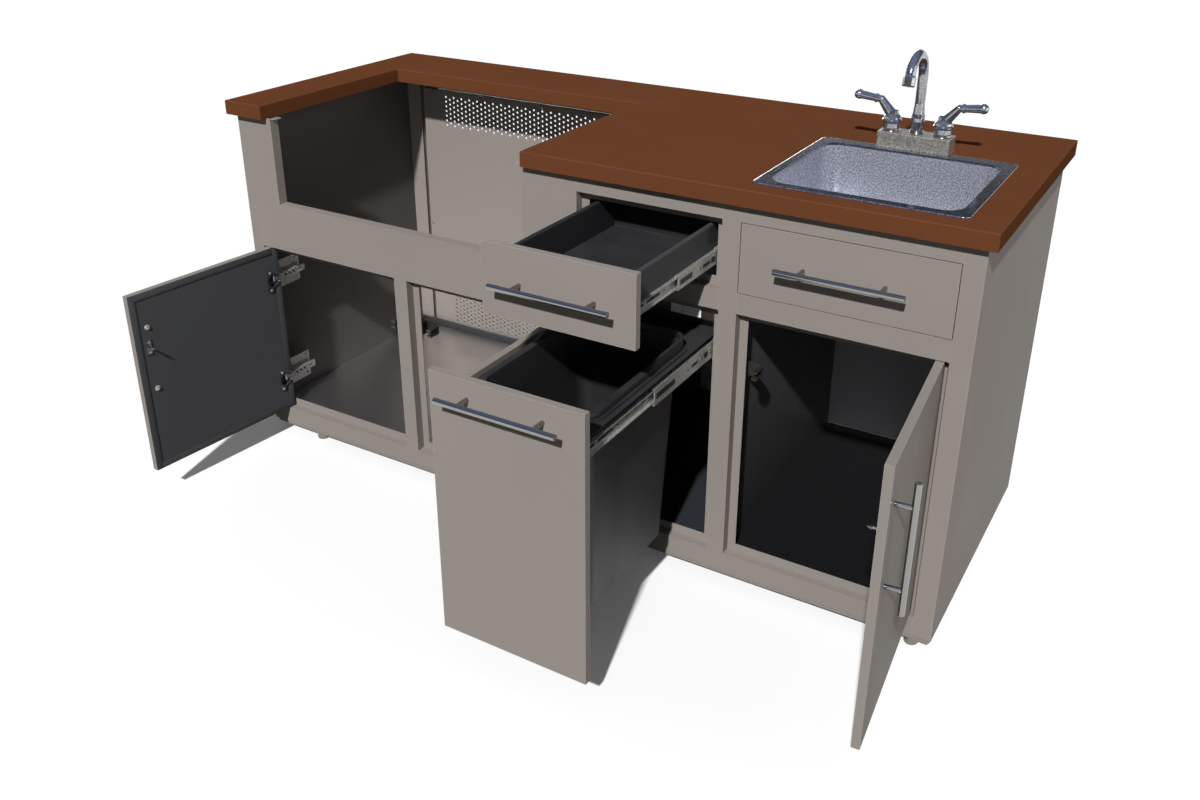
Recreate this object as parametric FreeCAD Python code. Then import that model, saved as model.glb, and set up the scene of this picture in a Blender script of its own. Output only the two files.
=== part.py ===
"""Outdoor kitchen island: a sheet-metal cabinet with a grill bay, a drawer column and a sink.

Millimetres, +Z up, the front of the cabinet faces -Y. The model is laid out from the cabinet's
front left corner on the floor, as a shop drawing would be, and moved at the end so that its
origin is the middle of the bottom of its box, with the doors and drawers standing open.
"""
import FreeCAD
import Part
import math
import os

Vec = FreeCAD.Vector

# Overall cabinet
CABINET_W = 1816.0
CABINET_D = 680.0
TOP_H = 914.0
TOP_T = 34.0
CASE_BOTTOM = 33.0
CASE_TOP = TOP_H - TOP_T
SHEET = 1.5
GAP = 0.3

# Face frame of rectangular tube
FRAME_DEPTH = 23.0
FRAME_WALL = 2.0
STILE_LEFT_W = 35.0
MULLION_W = 38.0
STILE_MID_W = 40.0
STILE_SINK_W = 39.0
STILE_RIGHT_W = 40.0
COLUMN_OPENING = 333.0
SINK_OPENING = 423.0
MID_DOOR_WIDER = 8.0
OPENING_BOTTOM = 78.0
TOP_RAIL_H = 37.0
DRAWER_OPENING_H = 148.0
MIDDLE_RAIL_H = 44.0
SURROUND_H = 298.0
BAY_RAIL_H = 40.0
STOP_W = 18.0
STOP_T = 2.0

# Grill bay
BAY_IN_LEFT = 75.0
BAY_IN_RIGHT = 99.0
BAY_DROP = 216.0
SURROUND_T = 2.0
TAB_SIZE = 14.0

# Countertop
TOP_OVER_SIDE = 18.0
TOP_OVER_FRONT = 18.0
TOP_OVER_BACK = 8.0
TOP_SKIN = 2.5
TOP_EDGE = 1.5
CUT_MARGIN = 11.0
TOP_BRIDGE = 193.0
CUTOUT_PLAY = 4.5

# Back wall
BACK_SET = 40.0
BACK_SHEET = 1.5
VENT_FOLD = 15.0
VENT_LEFT = 60.0
VENT_SIDE_GAP = 13.0
VENT_HEAD = 51.0
POST_W = 80.0
VENT_BAND_ROWS = 4
VENT_HOLE_R = 4.4
VENT_PITCH_X = 13.8
VENT_PITCH_Z = 27.2
VENT_MARGIN = 77.0
VENT_UPPER_DROP = 98.5
VENT_LOWER_RISE = 33.5
PAN_LIP = 24.0
SCREW_IN = 8.0
SCREW_RISE = 320.0
SCREW_R = 5.0
SCREW_CROWN_R = 3.5
SCREW_H = 2.6

# Base and feet
BASE_INSET = 5.0
BASE_TUBE_W = 40.0
BASE_TUBE_H = 10.0
FOOT_R = 15.0
FOOT_EDGE = 3.0
FOOT_STEM_R = 4.0
FOOT_STEM_PLAY = 0.08
FOOT_STEM_SHORT = 1.0
FOOT_IN_LEFT = 147.0
FOOT_IN_RIGHT = 44.0

# Doors, inset in their openings
DOOR_T = 16.0
DOOR_GAP = 2.0
DOOR_SKIN = 1.5
DOOR_LIP = 9.0
LEFT_REST = 95.6
MID_REST = 90.0
RIGHT_REST = 95.0

# Concealed hinges: a cup in the door, a pin, and an arm on a plate
PIN_IN = 15.0
PIN_DEEP = 5.5
PIN_R = 2.0
PIN_HALF = 14.6
PIN_PLAY = 0.05
EYE_R = 3.5
ARM_T = 4.0
ARM_H = 12.0
ARM_PLAY = 1.2
CUP_R = 17.5
CUP_IN = 23.5
CUP_WALL = 1.2
CUP_SLOT_IN = 27.0
CUP_FLANGE_R = 20.0
CUP_FLANGE_T = 1.5
CUP_EAR_IN = 26.0
CUP_EAR_W = 16.0
CUP_EAR_H = 58.0
CUP_EAR_ROUND = 5.0
HINGE_RISE = 88.0
HINGE_DROP = 91.0
PLATE_LEN = 84.0
PLATE_H = 74.0
PLATE_T = 2.0
PLATE_LEG_IN = 6.0
ARM_BAR_START = 10.0
ARM_BAR_LEN = 88.0
ARM_BAR_H = 17.0
ARM_BAR_MORE = 1.0
RISER_START = 22.0
RISER_END = 60.0
ARM_SLOT_START = 62.0
ARM_SLOT_END = 76.0
ARM_SLOT_H = 6.0

# Spear catches
STRIKER_IN = 36.0
STRIKER_LEN = 22.0
STRIKER_R = 2.5
STRIKER_TIP_LEN = 8.0
STRIKER_TIP_MORE = 1.5
STRIKER_BASE_W = 14.0
STRIKER_BASE_H = 36.0
STRIKER_BASE_T = 2.0
CATCH_DROP = 140.0
CATCH_DROP_RIGHT = 141.0
CATCH_OFF = 1.0
CATCH_LEN = 30.0
CATCH_W = 12.0
CATCH_JAW_IN = 5.0
CATCH_JAW_OUT = 10.0
CATCH_BRIDGE = 3.0
CATCH_STRAP_T = 2.0
CATCH_STRAP_H = 32.0
CATCH_FOOT_W = 14.0

# Clips of the false front
CLIP_W = 12.0
CLIP_H = 18.0
CLIP_MARGIN = 12.0

# Bar handles
BAR_R = 6.0
BAR_LEN = 254.0
POST_R = 4.5
POST_SPACING = 160.0
BAR_STANDOFF = 33.0
HANDLE_IN = 38.0
HANDLE_DROP = 168.0
FRONT_BAR_DROP = 38.0

# Telescopic slides, three members each; heights run outer, middle, inner
SLIDE_T = 12.7
SLIDE_SHEET = 1.2
SLIDE_PLAY = 0.3
SLIDE_START = 27.0
SLIDE_OVERLAP = 0.5
OUTER_FLANGE = 10.7
MIDDLE_WEB = 2.8
MIDDLE_FLANGE = 11.5
INNER_FLANGE = 5.35
CAGE_NEAR = 5.5
CAGE_FAR = 10.2
CAGE_LEN = 140.0
SLOT_H = 7.0
SLOT_LEN = 26.0
OUTER_SLOTS = (40.0, 80.0)
MIDDLE_SLOTS = (30.0, 70.0)
INNER_SLOTS = (60.0, 90.0)
DRAWER_SLIDE_LEN = 400.0
DRAWER_SLIDE_H = (35.0, 28.0, 22.5)
DRAWER_SLIDE_RISE = 57.0
TRASH_SLIDE_LEN = 550.0
TRASH_SLIDE_H = (45.0, 36.5, 26.0)
TRASH_SLIDE_DROP = 102.0
DRAWER_REST = 336.0
TRASH_REST = 505.0
KEEPER_H = 25.0
KEEPER_RISE = 4.0

# Drawer box
BOX_WALL = 11.0
BOX_LEN = 421.0
BOX_RISE = 42.0
BOX_RECESS = 9.0
BOX_FLOOR = 4.0
BOX_CLEAR = 4.0
BOX_ROUND = 4.5

# Waste bin and its carrier
BIN_W = 262.0
BIN_LEN = 380.0
BIN_RISE = 72.0
BIN_WALL = 2.5
BIN_TAPER = 20.0
BIN_CORNER = 38.0
BIN_RIM = 12.0
BIN_ROLL = 4.0
BIN_ROLL_H = 8.0
BIN_SKIRT_OUT = 6.5
BIN_SKIRT_H = 4.0
BIN_GROOVE = 4.5
BIN_GROOVE_H = 3.7
BIN_RAISE = 12.0
BIN_RAISE_T = 7.0
BIN_RAISE_AT = 205.0
BIN_BACK = 59.0
CARRIER_LEN = 549.0
CARRIER_T = 2.0
CARRIER_TOP_DROP = 69.0
CARRIER_DROP = 48.0
CARRIER_WING = 10.7
CARRIER_LIP = 7.0

# Sink
SINK_W = 414.0
SINK_L = 390.0
SINK_IN_RIGHT = 46.0
SINK_Y0 = 28.0
SINK_RIM_T = 3.0
SINK_RIM_CORNER = 16.0
SINK_RIM_ROUND = 2.0
SINK_LEDGE = 22.0
SINK_LEDGE_BACK = 34.0
SINK_DEPTH = 152.0
SINK_SHEET = 1.5
SINK_CORNER = 42.0
BOWL_CORNER = 38.0
SINK_FOOT_R = 24.0
CLAMP_IN = 90.0
CLAMP_W = 14.0
CLAMP_LEN = 14.0
CLAMP_BITE = 2.0
CLAMP_T = 4.0

# Drain
DRAIN_R = 29.0
DRAIN_NECK_R = 22.0
DRAIN_WALL = 2.0
DRAIN_NECK_LEN = 26.0
DRAIN_FLOOR = 4.0
DRAIN_NUT_R = 32.0
DRAIN_NUT_H = 12.0
DRAIN_SEAT = 0.2
DRAIN_RIM_T = 1.8
PLATE_DOWN = (4.0, 2.0)
DRAIN_HOLES = 6
DRAIN_HOLE_RING = 12.0
DRAIN_HOLE_W = 5.0
TAIL_R = 19.0
TAIL_LEN = 82.0

# Faucet
FAUCET_FROM_SINK = 196.0
FAUCET_BEHIND = 12.0
BLOCK_W = 152.0
BLOCK_D = 52.0
BLOCK_H = 31.0
BLOCK_CORNER = 3.0
BLOCK_ROUND = 2.0
VALVE_PITCH = 54.0
SPOUT_R = 10.5
SPOUT_REACH = 98.0
SPOUT_RISE = 215.0
SPOUT_SWEEP = 162.0
AERATOR_R = 13.0
AERATOR_LEN = 21.0
LEVER_REACH = 76.0
LEVER_KNEE = (27.0, 62.0)
LEVER_START = 30.0
LEVER_TIP = 67.0
LEVER_NECK = (12.0, 8.0)
LEVER_COLLAR = (9.5, 5.0)
LEVER_ARM = (7.4, 9.0)
LEVER_BALL = 10.5
SHANK_R = 10.0
SHANK_LEN = 62.0
SHANK_CLEAR = 1.5
SHANK_NUT_R = 19.0
SHANK_NUT_H = 10.0
SPOUT_STEM_R = 7.0
STEM_LEN = 22.0
SOCKET_DEEP = 24.0
FIT_PLAY = 0.06
SPOUT_BASE = ((14.0, 0.0), (14.8, 3.0), (12.5, 8.0), (13.4, 16.0), (14.5, 26.0), (14.0, 33.0),
              (13.0, 36.0), (14.0, 38.0), (12.4, 42.0), (SPOUT_R, 63.0))
HUB = ((19.5, 0.0), (20.0, 2.0), (18.8, 5.0), (19.2, 7.0), (18.4, 16.0), (20.5, 19.0), (20.5, 22.0),
       (18.5, 25.0), (17.5, 29.0), (13.0, 35.0), (11.0, 42.0))

# Places worked out from the sizes above
DRAWER_TOP = CASE_TOP - TOP_RAIL_H
DRAWER_BOTTOM = DRAWER_TOP - DRAWER_OPENING_H
COLUMN_HEAD = DRAWER_BOTTOM - MIDDLE_RAIL_H
SURROUND_BOTTOM = CASE_TOP - SURROUND_H
LOW_HEAD = SURROUND_BOTTOM - BAY_RAIL_H
BAY_DOORS_W = (CABINET_W - STILE_LEFT_W - MULLION_W - STILE_MID_W - COLUMN_OPENING - STILE_SINK_W
               - SINK_OPENING - STILE_RIGHT_W)
DOOR_LEFT_OPENING = (BAY_DOORS_W - MID_DOOR_WIDER) / 2
OPEN_LEFT = (STILE_LEFT_W, STILE_LEFT_W + DOOR_LEFT_OPENING)
OPEN_MID = (OPEN_LEFT[1] + MULLION_W, STILE_LEFT_W + MULLION_W + BAY_DOORS_W)
OPEN_COLUMN = (OPEN_MID[1] + STILE_MID_W, OPEN_MID[1] + STILE_MID_W + COLUMN_OPENING)
OPEN_SINK = (OPEN_COLUMN[1] + STILE_SINK_W, CABINET_W - STILE_RIGHT_W)
FRAME_BACK = FRAME_DEPTH + STOP_T
BAY_LEFT = STILE_LEFT_W + BAY_IN_LEFT
BAY_RIGHT = OPEN_MID[1] - BAY_IN_RIGHT
BAY_SILL = CASE_TOP - BAY_DROP
CUT_BACK = CABINET_D - TOP_BRIDGE
BACK_WALL_Y = CABINET_D - BACK_SET
VENT_TOP = CASE_TOP - VENT_HEAD
VENT_UPPER_Z = VENT_TOP - VENT_UPPER_DROP
VENT_LOWER_Z = OPENING_BOTTOM + VENT_LOWER_RISE
HINGE_LOW = OPENING_BOTTOM + HINGE_RISE
PIN_Z_LEFT = (HINGE_LOW, LOW_HEAD - HINGE_DROP)
PIN_Z_RIGHT = (HINGE_LOW, COLUMN_HEAD - HINGE_DROP)
CATCH_Z = LOW_HEAD - CATCH_DROP
CATCH_Z_RIGHT = COLUMN_HEAD - CATCH_DROP_RIGHT
DRAWER_SLIDE_Z = DRAWER_BOTTOM + DRAWER_SLIDE_RISE
TRASH_SLIDE_Z = COLUMN_HEAD - TRASH_SLIDE_DROP
CARRIER_Z = COLUMN_HEAD - CARRIER_TOP_DROP
BIN_BOTTOM = OPENING_BOTTOM + BIN_RISE
BIN_TOP = CARRIER_Z + GAP + BIN_SKIRT_H + BIN_GROOVE_H + BIN_ROLL_H
SINK_X1 = CABINET_W - SINK_IN_RIGHT
SINK_X0 = SINK_X1 - SINK_W
SINK_Y1 = SINK_Y0 + SINK_L
FAUCET_X = SINK_X0 + FAUCET_FROM_SINK
FAUCET_Y = SINK_Y1 + FAUCET_BEHIND
SPOUT_TOP = TOP_H + SPOUT_RISE


def box(x0, y0, z0, x1, y1, z1):
    """A block between two corners."""
    return Part.makeBox(x1 - x0, y1 - y0, z1 - z0, Vec(x0, y0, z0))


def polygon(points, direction):
    """The prism that a closed outline makes when it is pushed along a vector."""
    wire = Part.makePolygon(points + [points[0]])
    return Part.Face(wire).extrude(direction)


def cylinder(radius, start, end):
    """A round bar from one point to another."""
    return Part.makeCylinder(radius, (end - start).Length, start, end - start)


def turned(profile, centre):
    """A turned part: radius and height pairs, spun about the vertical through a point."""
    points = [Vec(centre.x + r, centre.y, centre.z + h) for r, h in profile]
    face = Part.Face(Part.makePolygon(points + [points[0]]))
    return face.revolve(centre, Vec(0, 0, 1), 360)


def fuse(shapes):
    """One solid from pieces that touch or overlap."""
    body = shapes[0].multiFuse(shapes[1:]).removeSplitter()
    return body.Solids[0] if len(body.Solids) == 1 else body


def group(shapes):
    """Several separate solids in one node."""
    return Part.makeCompound([solid for shape in shapes for solid in shape.Solids])


def rounded_prism(x0, y0, x1, y1, z0, z1, radius):
    """An upright block with rounded vertical corners."""
    body = box(x0, y0, z0, x1, y1, z1)
    upright = [e for e in body.Edges if abs(e.Vertexes[0].Z - e.Vertexes[1].Z) > 0.5 * (z1 - z0)]
    return body.makeFillet(radius, upright)


def rounded_plate(x0, y0, z0, x1, y1, z1, radius):
    """A plate that faces the front, with its four corners rounded."""
    body = box(min(x0, x1), y0, z0, max(x0, x1), y1, z1)
    corners = [e for e in body.Edges if abs(e.Vertexes[0].Y - e.Vertexes[1].Y) > 0.5 * (y1 - y0)]
    return body.makeFillet(radius, corners)


def rounded_wire(x0, y0, x1, y1, z, radius):
    """A flat rounded rectangle, as a wire of lines and quarter arcs."""
    corners = [(x1 - radius, y1 - radius, 0), (x0 + radius, y1 - radius, 90),
               (x0 + radius, y0 + radius, 180), (x1 - radius, y0 + radius, 270)]
    edges = []
    ends = []
    for cx, cy, start in corners:
        arc = Part.Arc(*[Vec(cx + radius * math.cos(math.radians(start + turn)),
                             cy + radius * math.sin(math.radians(start + turn)), z)
                         for turn in (0, 45, 90)])
        edges.append(arc.toShape())
        ends.append((arc.StartPoint, arc.EndPoint))
    for corner in range(4):
        edges.append(Part.makeLine(ends[corner][1], ends[(corner + 1) % 4][0]))
    return Part.Wire(Part.__sortEdges__(edges))


def tube_upright(x0, x1, z0, z1, y0=0.0, y1=FRAME_DEPTH, wall=FRAME_WALL):
    """A rectangular tube that stands up."""
    return box(x0, y0, z0, x1, y1, z1).cut(
        box(x0 + wall, y0 + wall, z0, x1 - wall, y1 - wall, z1))


def tube_across(x0, x1, z0, z1, y0=0.0, y1=FRAME_DEPTH, wall=FRAME_WALL):
    """A rectangular tube that runs from left to right."""
    return box(x0, y0, z0, x1, y1, z1).cut(
        box(x0, y0 + wall, z0 + wall, x1, y1 - wall, z1 - wall))


# Cabinet shell

def face_stiles():
    """The five upright tubes of the face frame."""
    spans = [
        (SHEET, OPEN_LEFT[0], CASE_BOTTOM, CASE_TOP),
        (OPEN_LEFT[1], OPEN_MID[0], OPENING_BOTTOM, LOW_HEAD),
        (OPEN_MID[1], OPEN_COLUMN[0], CASE_BOTTOM, CASE_TOP),
        (OPEN_COLUMN[1], OPEN_SINK[0], CASE_BOTTOM, CASE_TOP),
        (OPEN_SINK[1], CABINET_W - SHEET, CASE_BOTTOM, CASE_TOP),
    ]
    return group([tube_upright(*span) for span in spans])


def face_rails():
    """The cross tubes of the face frame, each between two stiles."""
    spans = [
        (OPEN_LEFT[0], OPEN_MID[1], CASE_BOTTOM, OPENING_BOTTOM),
        (OPEN_COLUMN[0], OPEN_COLUMN[1], CASE_BOTTOM, OPENING_BOTTOM),
        (OPEN_SINK[0], OPEN_SINK[1], CASE_BOTTOM, OPENING_BOTTOM),
        (OPEN_LEFT[0], OPEN_MID[1], LOW_HEAD, SURROUND_BOTTOM),
    ]
    for opening in (OPEN_COLUMN, OPEN_SINK):
        spans.append((opening[0], opening[1], COLUMN_HEAD, DRAWER_BOTTOM))
        spans.append((opening[0], opening[1], DRAWER_TOP, CASE_TOP))
    return group([tube_across(*span) for span in spans])


def stop_frames():
    """The four thin strips behind each opening that its door or front closes against."""
    openings = [
        (OPEN_LEFT, OPENING_BOTTOM, LOW_HEAD, OPEN_LEFT[0], 1, PIN_Z_LEFT),
        (OPEN_MID, OPENING_BOTTOM, LOW_HEAD, OPEN_MID[1], -1, PIN_Z_LEFT),
        (OPEN_COLUMN, OPENING_BOTTOM, COLUMN_HEAD, 0, 0, ()),
        (OPEN_COLUMN, DRAWER_BOTTOM, DRAWER_TOP, 0, 0, ()),
        (OPEN_SINK, OPENING_BOTTOM, COLUMN_HEAD, OPEN_SINK[1], -1, PIN_Z_RIGHT),
        (OPEN_SINK, DRAWER_BOTTOM, DRAWER_TOP, 0, 0, ()),
    ]
    strips = []
    for (x0, x1), z0, z1, edge, side, pins in openings:
        sides = [box(x0, FRAME_DEPTH, z0, x0 + STOP_W, FRAME_BACK, z1),
                 box(x1 - STOP_W, FRAME_DEPTH, z0, x1, FRAME_BACK, z1)]
        half = ARM_H / 2 + ARM_PLAY
        near = edge + side * (PIN_IN - ARM_T)
        far = edge + side * (STOP_W + 1)
        notches = [box(min(near, far), FRAME_DEPTH - 1, pin_z - half,
                       max(near, far), FRAME_BACK + 1, pin_z + half) for pin_z in pins]
        for notch in notches:
            sides = [strip.cut(notch) for strip in sides]
        strips += sides
        for low, high in ((z0, z0 + STOP_W), (z1 - STOP_W, z1)):
            strips.append(box(x0 + STOP_W, FRAME_DEPTH, low, x1 - STOP_W, FRAME_BACK, high))
    return group(strips)


def grill_surround():
    """The U-shaped panel round the grill bay, with its edges folded back."""
    left, right = OPEN_LEFT[0], OPEN_MID[1]
    plate = box(left, 0, SURROUND_BOTTOM, right, SURROUND_T, CASE_TOP)
    plate = plate.cut(box(BAY_LEFT, -1, BAY_SILL, BAY_RIGHT, SURROUND_T + 1, CASE_TOP + 1))
    folds = [
        box(BAY_LEFT - SURROUND_T, 0, BAY_SILL - SURROUND_T, BAY_LEFT, FRAME_BACK, CASE_TOP),
        box(BAY_RIGHT, 0, BAY_SILL - SURROUND_T, BAY_RIGHT + SURROUND_T, FRAME_BACK, CASE_TOP),
        box(BAY_LEFT, 0, BAY_SILL - SURROUND_T, BAY_RIGHT, FRAME_BACK, BAY_SILL),
        box(left, 0, SURROUND_BOTTOM, right, FRAME_BACK, SURROUND_BOTTOM + SURROUND_T),
    ]
    tab_z = CASE_TOP - SURROUND_T
    for start, end in ((BAY_LEFT, BAY_LEFT + TAB_SIZE), (BAY_RIGHT - TAB_SIZE, BAY_RIGHT)):
        folds.append(box(start, SURROUND_T, tab_z, end, FRAME_BACK, CASE_TOP))
    return fuse([plate] + folds)


def side_panel(x0):
    """An end panel of the cabinet: one sheet with its rear edge folded in."""
    inward = 1 if x0 < CABINET_W / 2 else -1
    outer = x0
    inner = x0 + inward * SHEET
    fold = x0 + inward * STILE_LEFT_W
    outline = [Vec(outer, 0, CASE_BOTTOM), Vec(inner, 0, CASE_BOTTOM),
               Vec(inner, BACK_WALL_Y - BACK_SHEET, CASE_BOTTOM),
               Vec(fold, BACK_WALL_Y - BACK_SHEET, CASE_BOTTOM),
               Vec(fold, BACK_WALL_Y, CASE_BOTTOM), Vec(outer, BACK_WALL_Y, CASE_BOTTOM)]
    return polygon(outline, Vec(0, 0, CASE_TOP - CASE_BOTTOM))


def dividers():
    """The inner walls: each module of the cabinet has its own side sheet."""
    walls = []
    for x0 in (OPEN_MID[1], OPEN_COLUMN[0] - SHEET, OPEN_COLUMN[1], OPEN_SINK[0] - SHEET):
        walls.append(box(x0, FRAME_BACK, CASE_BOTTOM, x0 + SHEET, BACK_WALL_Y - BACK_SHEET, CASE_TOP))
    return group(walls)


def floor_pans():
    """The three floor pans, each with its rear edge turned up."""
    pans = []
    back = BACK_WALL_Y - BACK_SHEET
    for x0, x1 in ((SHEET, OPEN_MID[1]), OPEN_COLUMN, (OPEN_SINK[0], CABINET_W - SHEET)):
        outline = [Vec(x0, FRAME_BACK, OPENING_BOTTOM), Vec(x0, back, OPENING_BOTTOM),
                   Vec(x0, back, OPENING_BOTTOM + PAN_LIP),
                   Vec(x0, back - SHEET, OPENING_BOTTOM + PAN_LIP),
                   Vec(x0, back - SHEET, OPENING_BOTTOM + SHEET),
                   Vec(x0, FRAME_BACK, OPENING_BOTTOM + SHEET)]
        pans.append(polygon(outline, Vec(x1 - x0, 0, 0)))
    return group(pans)


def vent_holes(z_low, x0, x1):
    """A staggered band of vent holes, six-sided so that the sheet stays light."""
    holes = []
    count = int((x1 - x0) / (2 * VENT_PITCH_X))
    start = (x0 + x1) / 2 - count * VENT_PITCH_X
    for column in range(count + 1):
        rows = VENT_BAND_ROWS - column % 2
        for row in range(rows):
            x = start + column * 2 * VENT_PITCH_X
            z = z_low + (row + 0.5 * (column % 2)) * VENT_PITCH_Z
            ring = [Vec(x + VENT_HOLE_R * math.cos(math.radians(a)), BACK_WALL_Y - 2 * BACK_SHEET,
                        z + VENT_HOLE_R * math.sin(math.radians(a))) for a in range(0, 360, 60)]
            holes.append(polygon(ring, Vec(0, 3 * BACK_SHEET, 0)))
    return holes


def vent_span():
    """Left and right edges of the lift-out vented panel."""
    return VENT_LEFT, OPEN_MID[1] - VENT_LEFT + SHEET


def vent_panel():
    """The lift-out rear panel of the grill bay, folded at its edges, with two vent bands."""
    x0, x1 = vent_span()
    z0 = OPENING_BOTTOM + PAN_LIP + GAP
    front = BACK_WALL_Y - BACK_SHEET
    pan = box(x0, front, z0, x1, BACK_WALL_Y + VENT_FOLD, VENT_TOP).cut(
        box(x0 + BACK_SHEET, BACK_WALL_Y, z0 + BACK_SHEET,
            x1 - BACK_SHEET, BACK_WALL_Y + VENT_FOLD + 1, VENT_TOP - BACK_SHEET))
    holes = vent_holes(VENT_UPPER_Z, x0 + VENT_MARGIN, x1 - VENT_MARGIN)
    holes += vent_holes(VENT_LOWER_Z + VENT_HOLE_R, x0 + VENT_MARGIN, x1 - VENT_MARGIN)
    return pan.cut(Part.makeCompound(holes))


def back_panels():
    """The fixed rear sheets: corner strips beside the vented panel, and the two plain backs."""
    z0, z1 = OPENING_BOTTOM + PAN_LIP + GAP, CASE_TOP
    y0, y1 = BACK_WALL_Y - BACK_SHEET, BACK_WALL_Y
    vent0, vent1 = vent_span()
    fold = STILE_LEFT_W
    sheets = [box(fold, y0, z0, vent0 - VENT_SIDE_GAP, y1, z1),
              box(vent1 + VENT_SIDE_GAP, y0, z0, OPEN_MID[1] + SHEET, y1, z1),
              box(OPEN_COLUMN[0] - SHEET, y0, z0, OPEN_COLUMN[1] + SHEET, y1, z1),
              box(OPEN_SINK[0] - SHEET, y0, z0, CABINET_W - fold, y1, z1)]
    return group(sheets)


def back_frame():
    """Rear posts and rails that carry the back sheets and the rear of the countertop."""
    y0, y1 = BACK_WALL_Y + VENT_FOLD, CABINET_D
    posts = [tube_upright(0, POST_W, CASE_BOTTOM, CASE_TOP, y0, y1),
             tube_upright(OPEN_MID[1] - POST_W / 2, OPEN_COLUMN[0] + POST_W / 2,
                          CASE_BOTTOM, CASE_TOP, y0, y1),
             tube_upright(CABINET_W - POST_W, CABINET_W, CASE_BOTTOM, CASE_TOP, y0, y1)]
    rails = []
    spans = ((POST_W, OPEN_MID[1] - POST_W / 2),
             (OPEN_COLUMN[0] + POST_W / 2, CABINET_W - POST_W))
    for x0, x1 in spans:
        rails.append(tube_across(x0, x1, VENT_TOP + GAP, CASE_TOP, y0, y1))
        rails.append(tube_across(x0, x1, CASE_BOTTOM, CASE_BOTTOM + STILE_LEFT_W, y0, y1))
    spacers = []
    for x0, x1 in ((0, POST_W - STILE_LEFT_W), (CABINET_W - POST_W + STILE_LEFT_W, CABINET_W)):
        spacers.append(box(x0, BACK_WALL_Y, CASE_BOTTOM, x1, y0, CASE_TOP))
    spacers.append(box(OPEN_MID[1], BACK_WALL_Y, CASE_BOTTOM, OPEN_COLUMN[0], y0, CASE_TOP))
    return group(posts + rails + spacers)


def base_frame():
    """The flat frame under the case, with a tapped hole for each foot."""
    x0, x1 = BASE_INSET, CABINET_W - BASE_INSET
    y0, y1 = BASE_INSET, CABINET_D - BASE_INSET
    z0, z1 = CASE_BOTTOM - BASE_TUBE_H, CASE_BOTTOM
    width = BASE_TUBE_W
    frame = box(x0, y0, z0, x1, y1, z1).cut(
        box(x0 + width, y0 + width, z0, x1 - width, y1 - width, z1))
    middle = (OPEN_MID[1] + OPEN_COLUMN[0]) / 2
    body = fuse([frame, box(middle - width / 2, y0 + width, z0, middle + width / 2, y1 - width, z1)])
    for x, y in foot_places().values():
        body = body.cut(cylinder(FOOT_STEM_R + FOOT_STEM_PLAY, Vec(x, y, z0 - 1), Vec(x, y, z1 + 1)))
    return body


def foot_places():
    """Where the six levelling feet stand, by name."""
    front = BASE_INSET + BASE_TUBE_W / 2
    middle = (OPEN_MID[1] + OPEN_COLUMN[0]) / 2
    places = {}
    for row, y in (("front", front), ("rear", CABINET_D - front)):
        for column, x in (("left", FOOT_IN_LEFT), ("middle", middle), ("right", CABINET_W - FOOT_IN_RIGHT)):
            places["foot_%s_%s" % (row, column)] = (x, y)
    return places


def foot(x, y):
    """One levelling foot: a round glide with a rounded edge, on a threaded stem."""
    neck = CASE_BOTTOM - BASE_TUBE_H - GAP
    stem_top = CASE_BOTTOM - FOOT_STEM_SHORT
    third = FOOT_EDGE / 3
    profile = [(0, 0), (FOOT_R - FOOT_EDGE, 0), (FOOT_R - third, third), (FOOT_R, FOOT_EDGE),
               (FOOT_R, neck), (FOOT_STEM_R, neck), (FOOT_STEM_R, stem_top), (0, stem_top)]
    return turned(profile, Vec(x, y, 0))


# Countertop

def top_outline(z0, z1, inset):
    """The U-shaped plan of the top, drawn in from its edges by an inset."""
    x0, x1 = -TOP_OVER_SIDE + inset, CABINET_W + TOP_OVER_SIDE - inset
    y0, y1 = -TOP_OVER_FRONT + inset, CABINET_D + TOP_OVER_BACK - inset
    cut0, cut1 = BAY_LEFT - CUT_MARGIN - inset, BAY_RIGHT + CUT_MARGIN + inset
    points = [Vec(x0, y0, z0), Vec(cut0, y0, z0), Vec(cut0, CUT_BACK + inset, z0),
              Vec(cut1, CUT_BACK + inset, z0), Vec(cut1, y0, z0), Vec(x1, y0, z0),
              Vec(x1, y1, z0), Vec(x0, y1, z0)]
    return polygon(points, Vec(0, 0, z1 - z0))


def sink_hole(z0, z1):
    """The cut-out in the top's skin that the sink drops into."""
    x0, y0, x1, y1 = cutout_plan()
    return rounded_prism(x0, y0, x1, y1, z0, z1, SINK_CORNER)


def cutout_plan():
    """The plan box of the sink's cut-out."""
    x0, x1, y0, y1 = bowl_plan()
    return x0 - CUTOUT_PLAY, y0 - CUTOUT_PLAY, x1 + CUTOUT_PLAY, y1 + CUTOUT_PLAY


def faucet_holes(z0, z1):
    """Clearance holes for the two faucet shanks."""
    return Part.makeCompound([
        cylinder(SHANK_R + SHANK_CLEAR, Vec(x, FAUCET_Y, z0), Vec(x, FAUCET_Y, z1)) for x in valve_places()])


def countertop():
    """The folded metal skin of the top."""
    skin = top_outline(CASE_TOP, TOP_H, 0.0)
    top_edges = [e for e in skin.Edges
                 if all(abs(v.Z - TOP_H) < 0.01 for v in e.Vertexes)]
    skin = skin.makeChamfer(TOP_EDGE, top_edges)
    skin = skin.cut(top_outline(CASE_TOP - 1, TOP_H - TOP_SKIN, TOP_SKIN))
    return skin.cut(sink_hole(CASE_TOP, TOP_H + 1)).cut(faucet_holes(CASE_TOP, TOP_H + 1))


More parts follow.
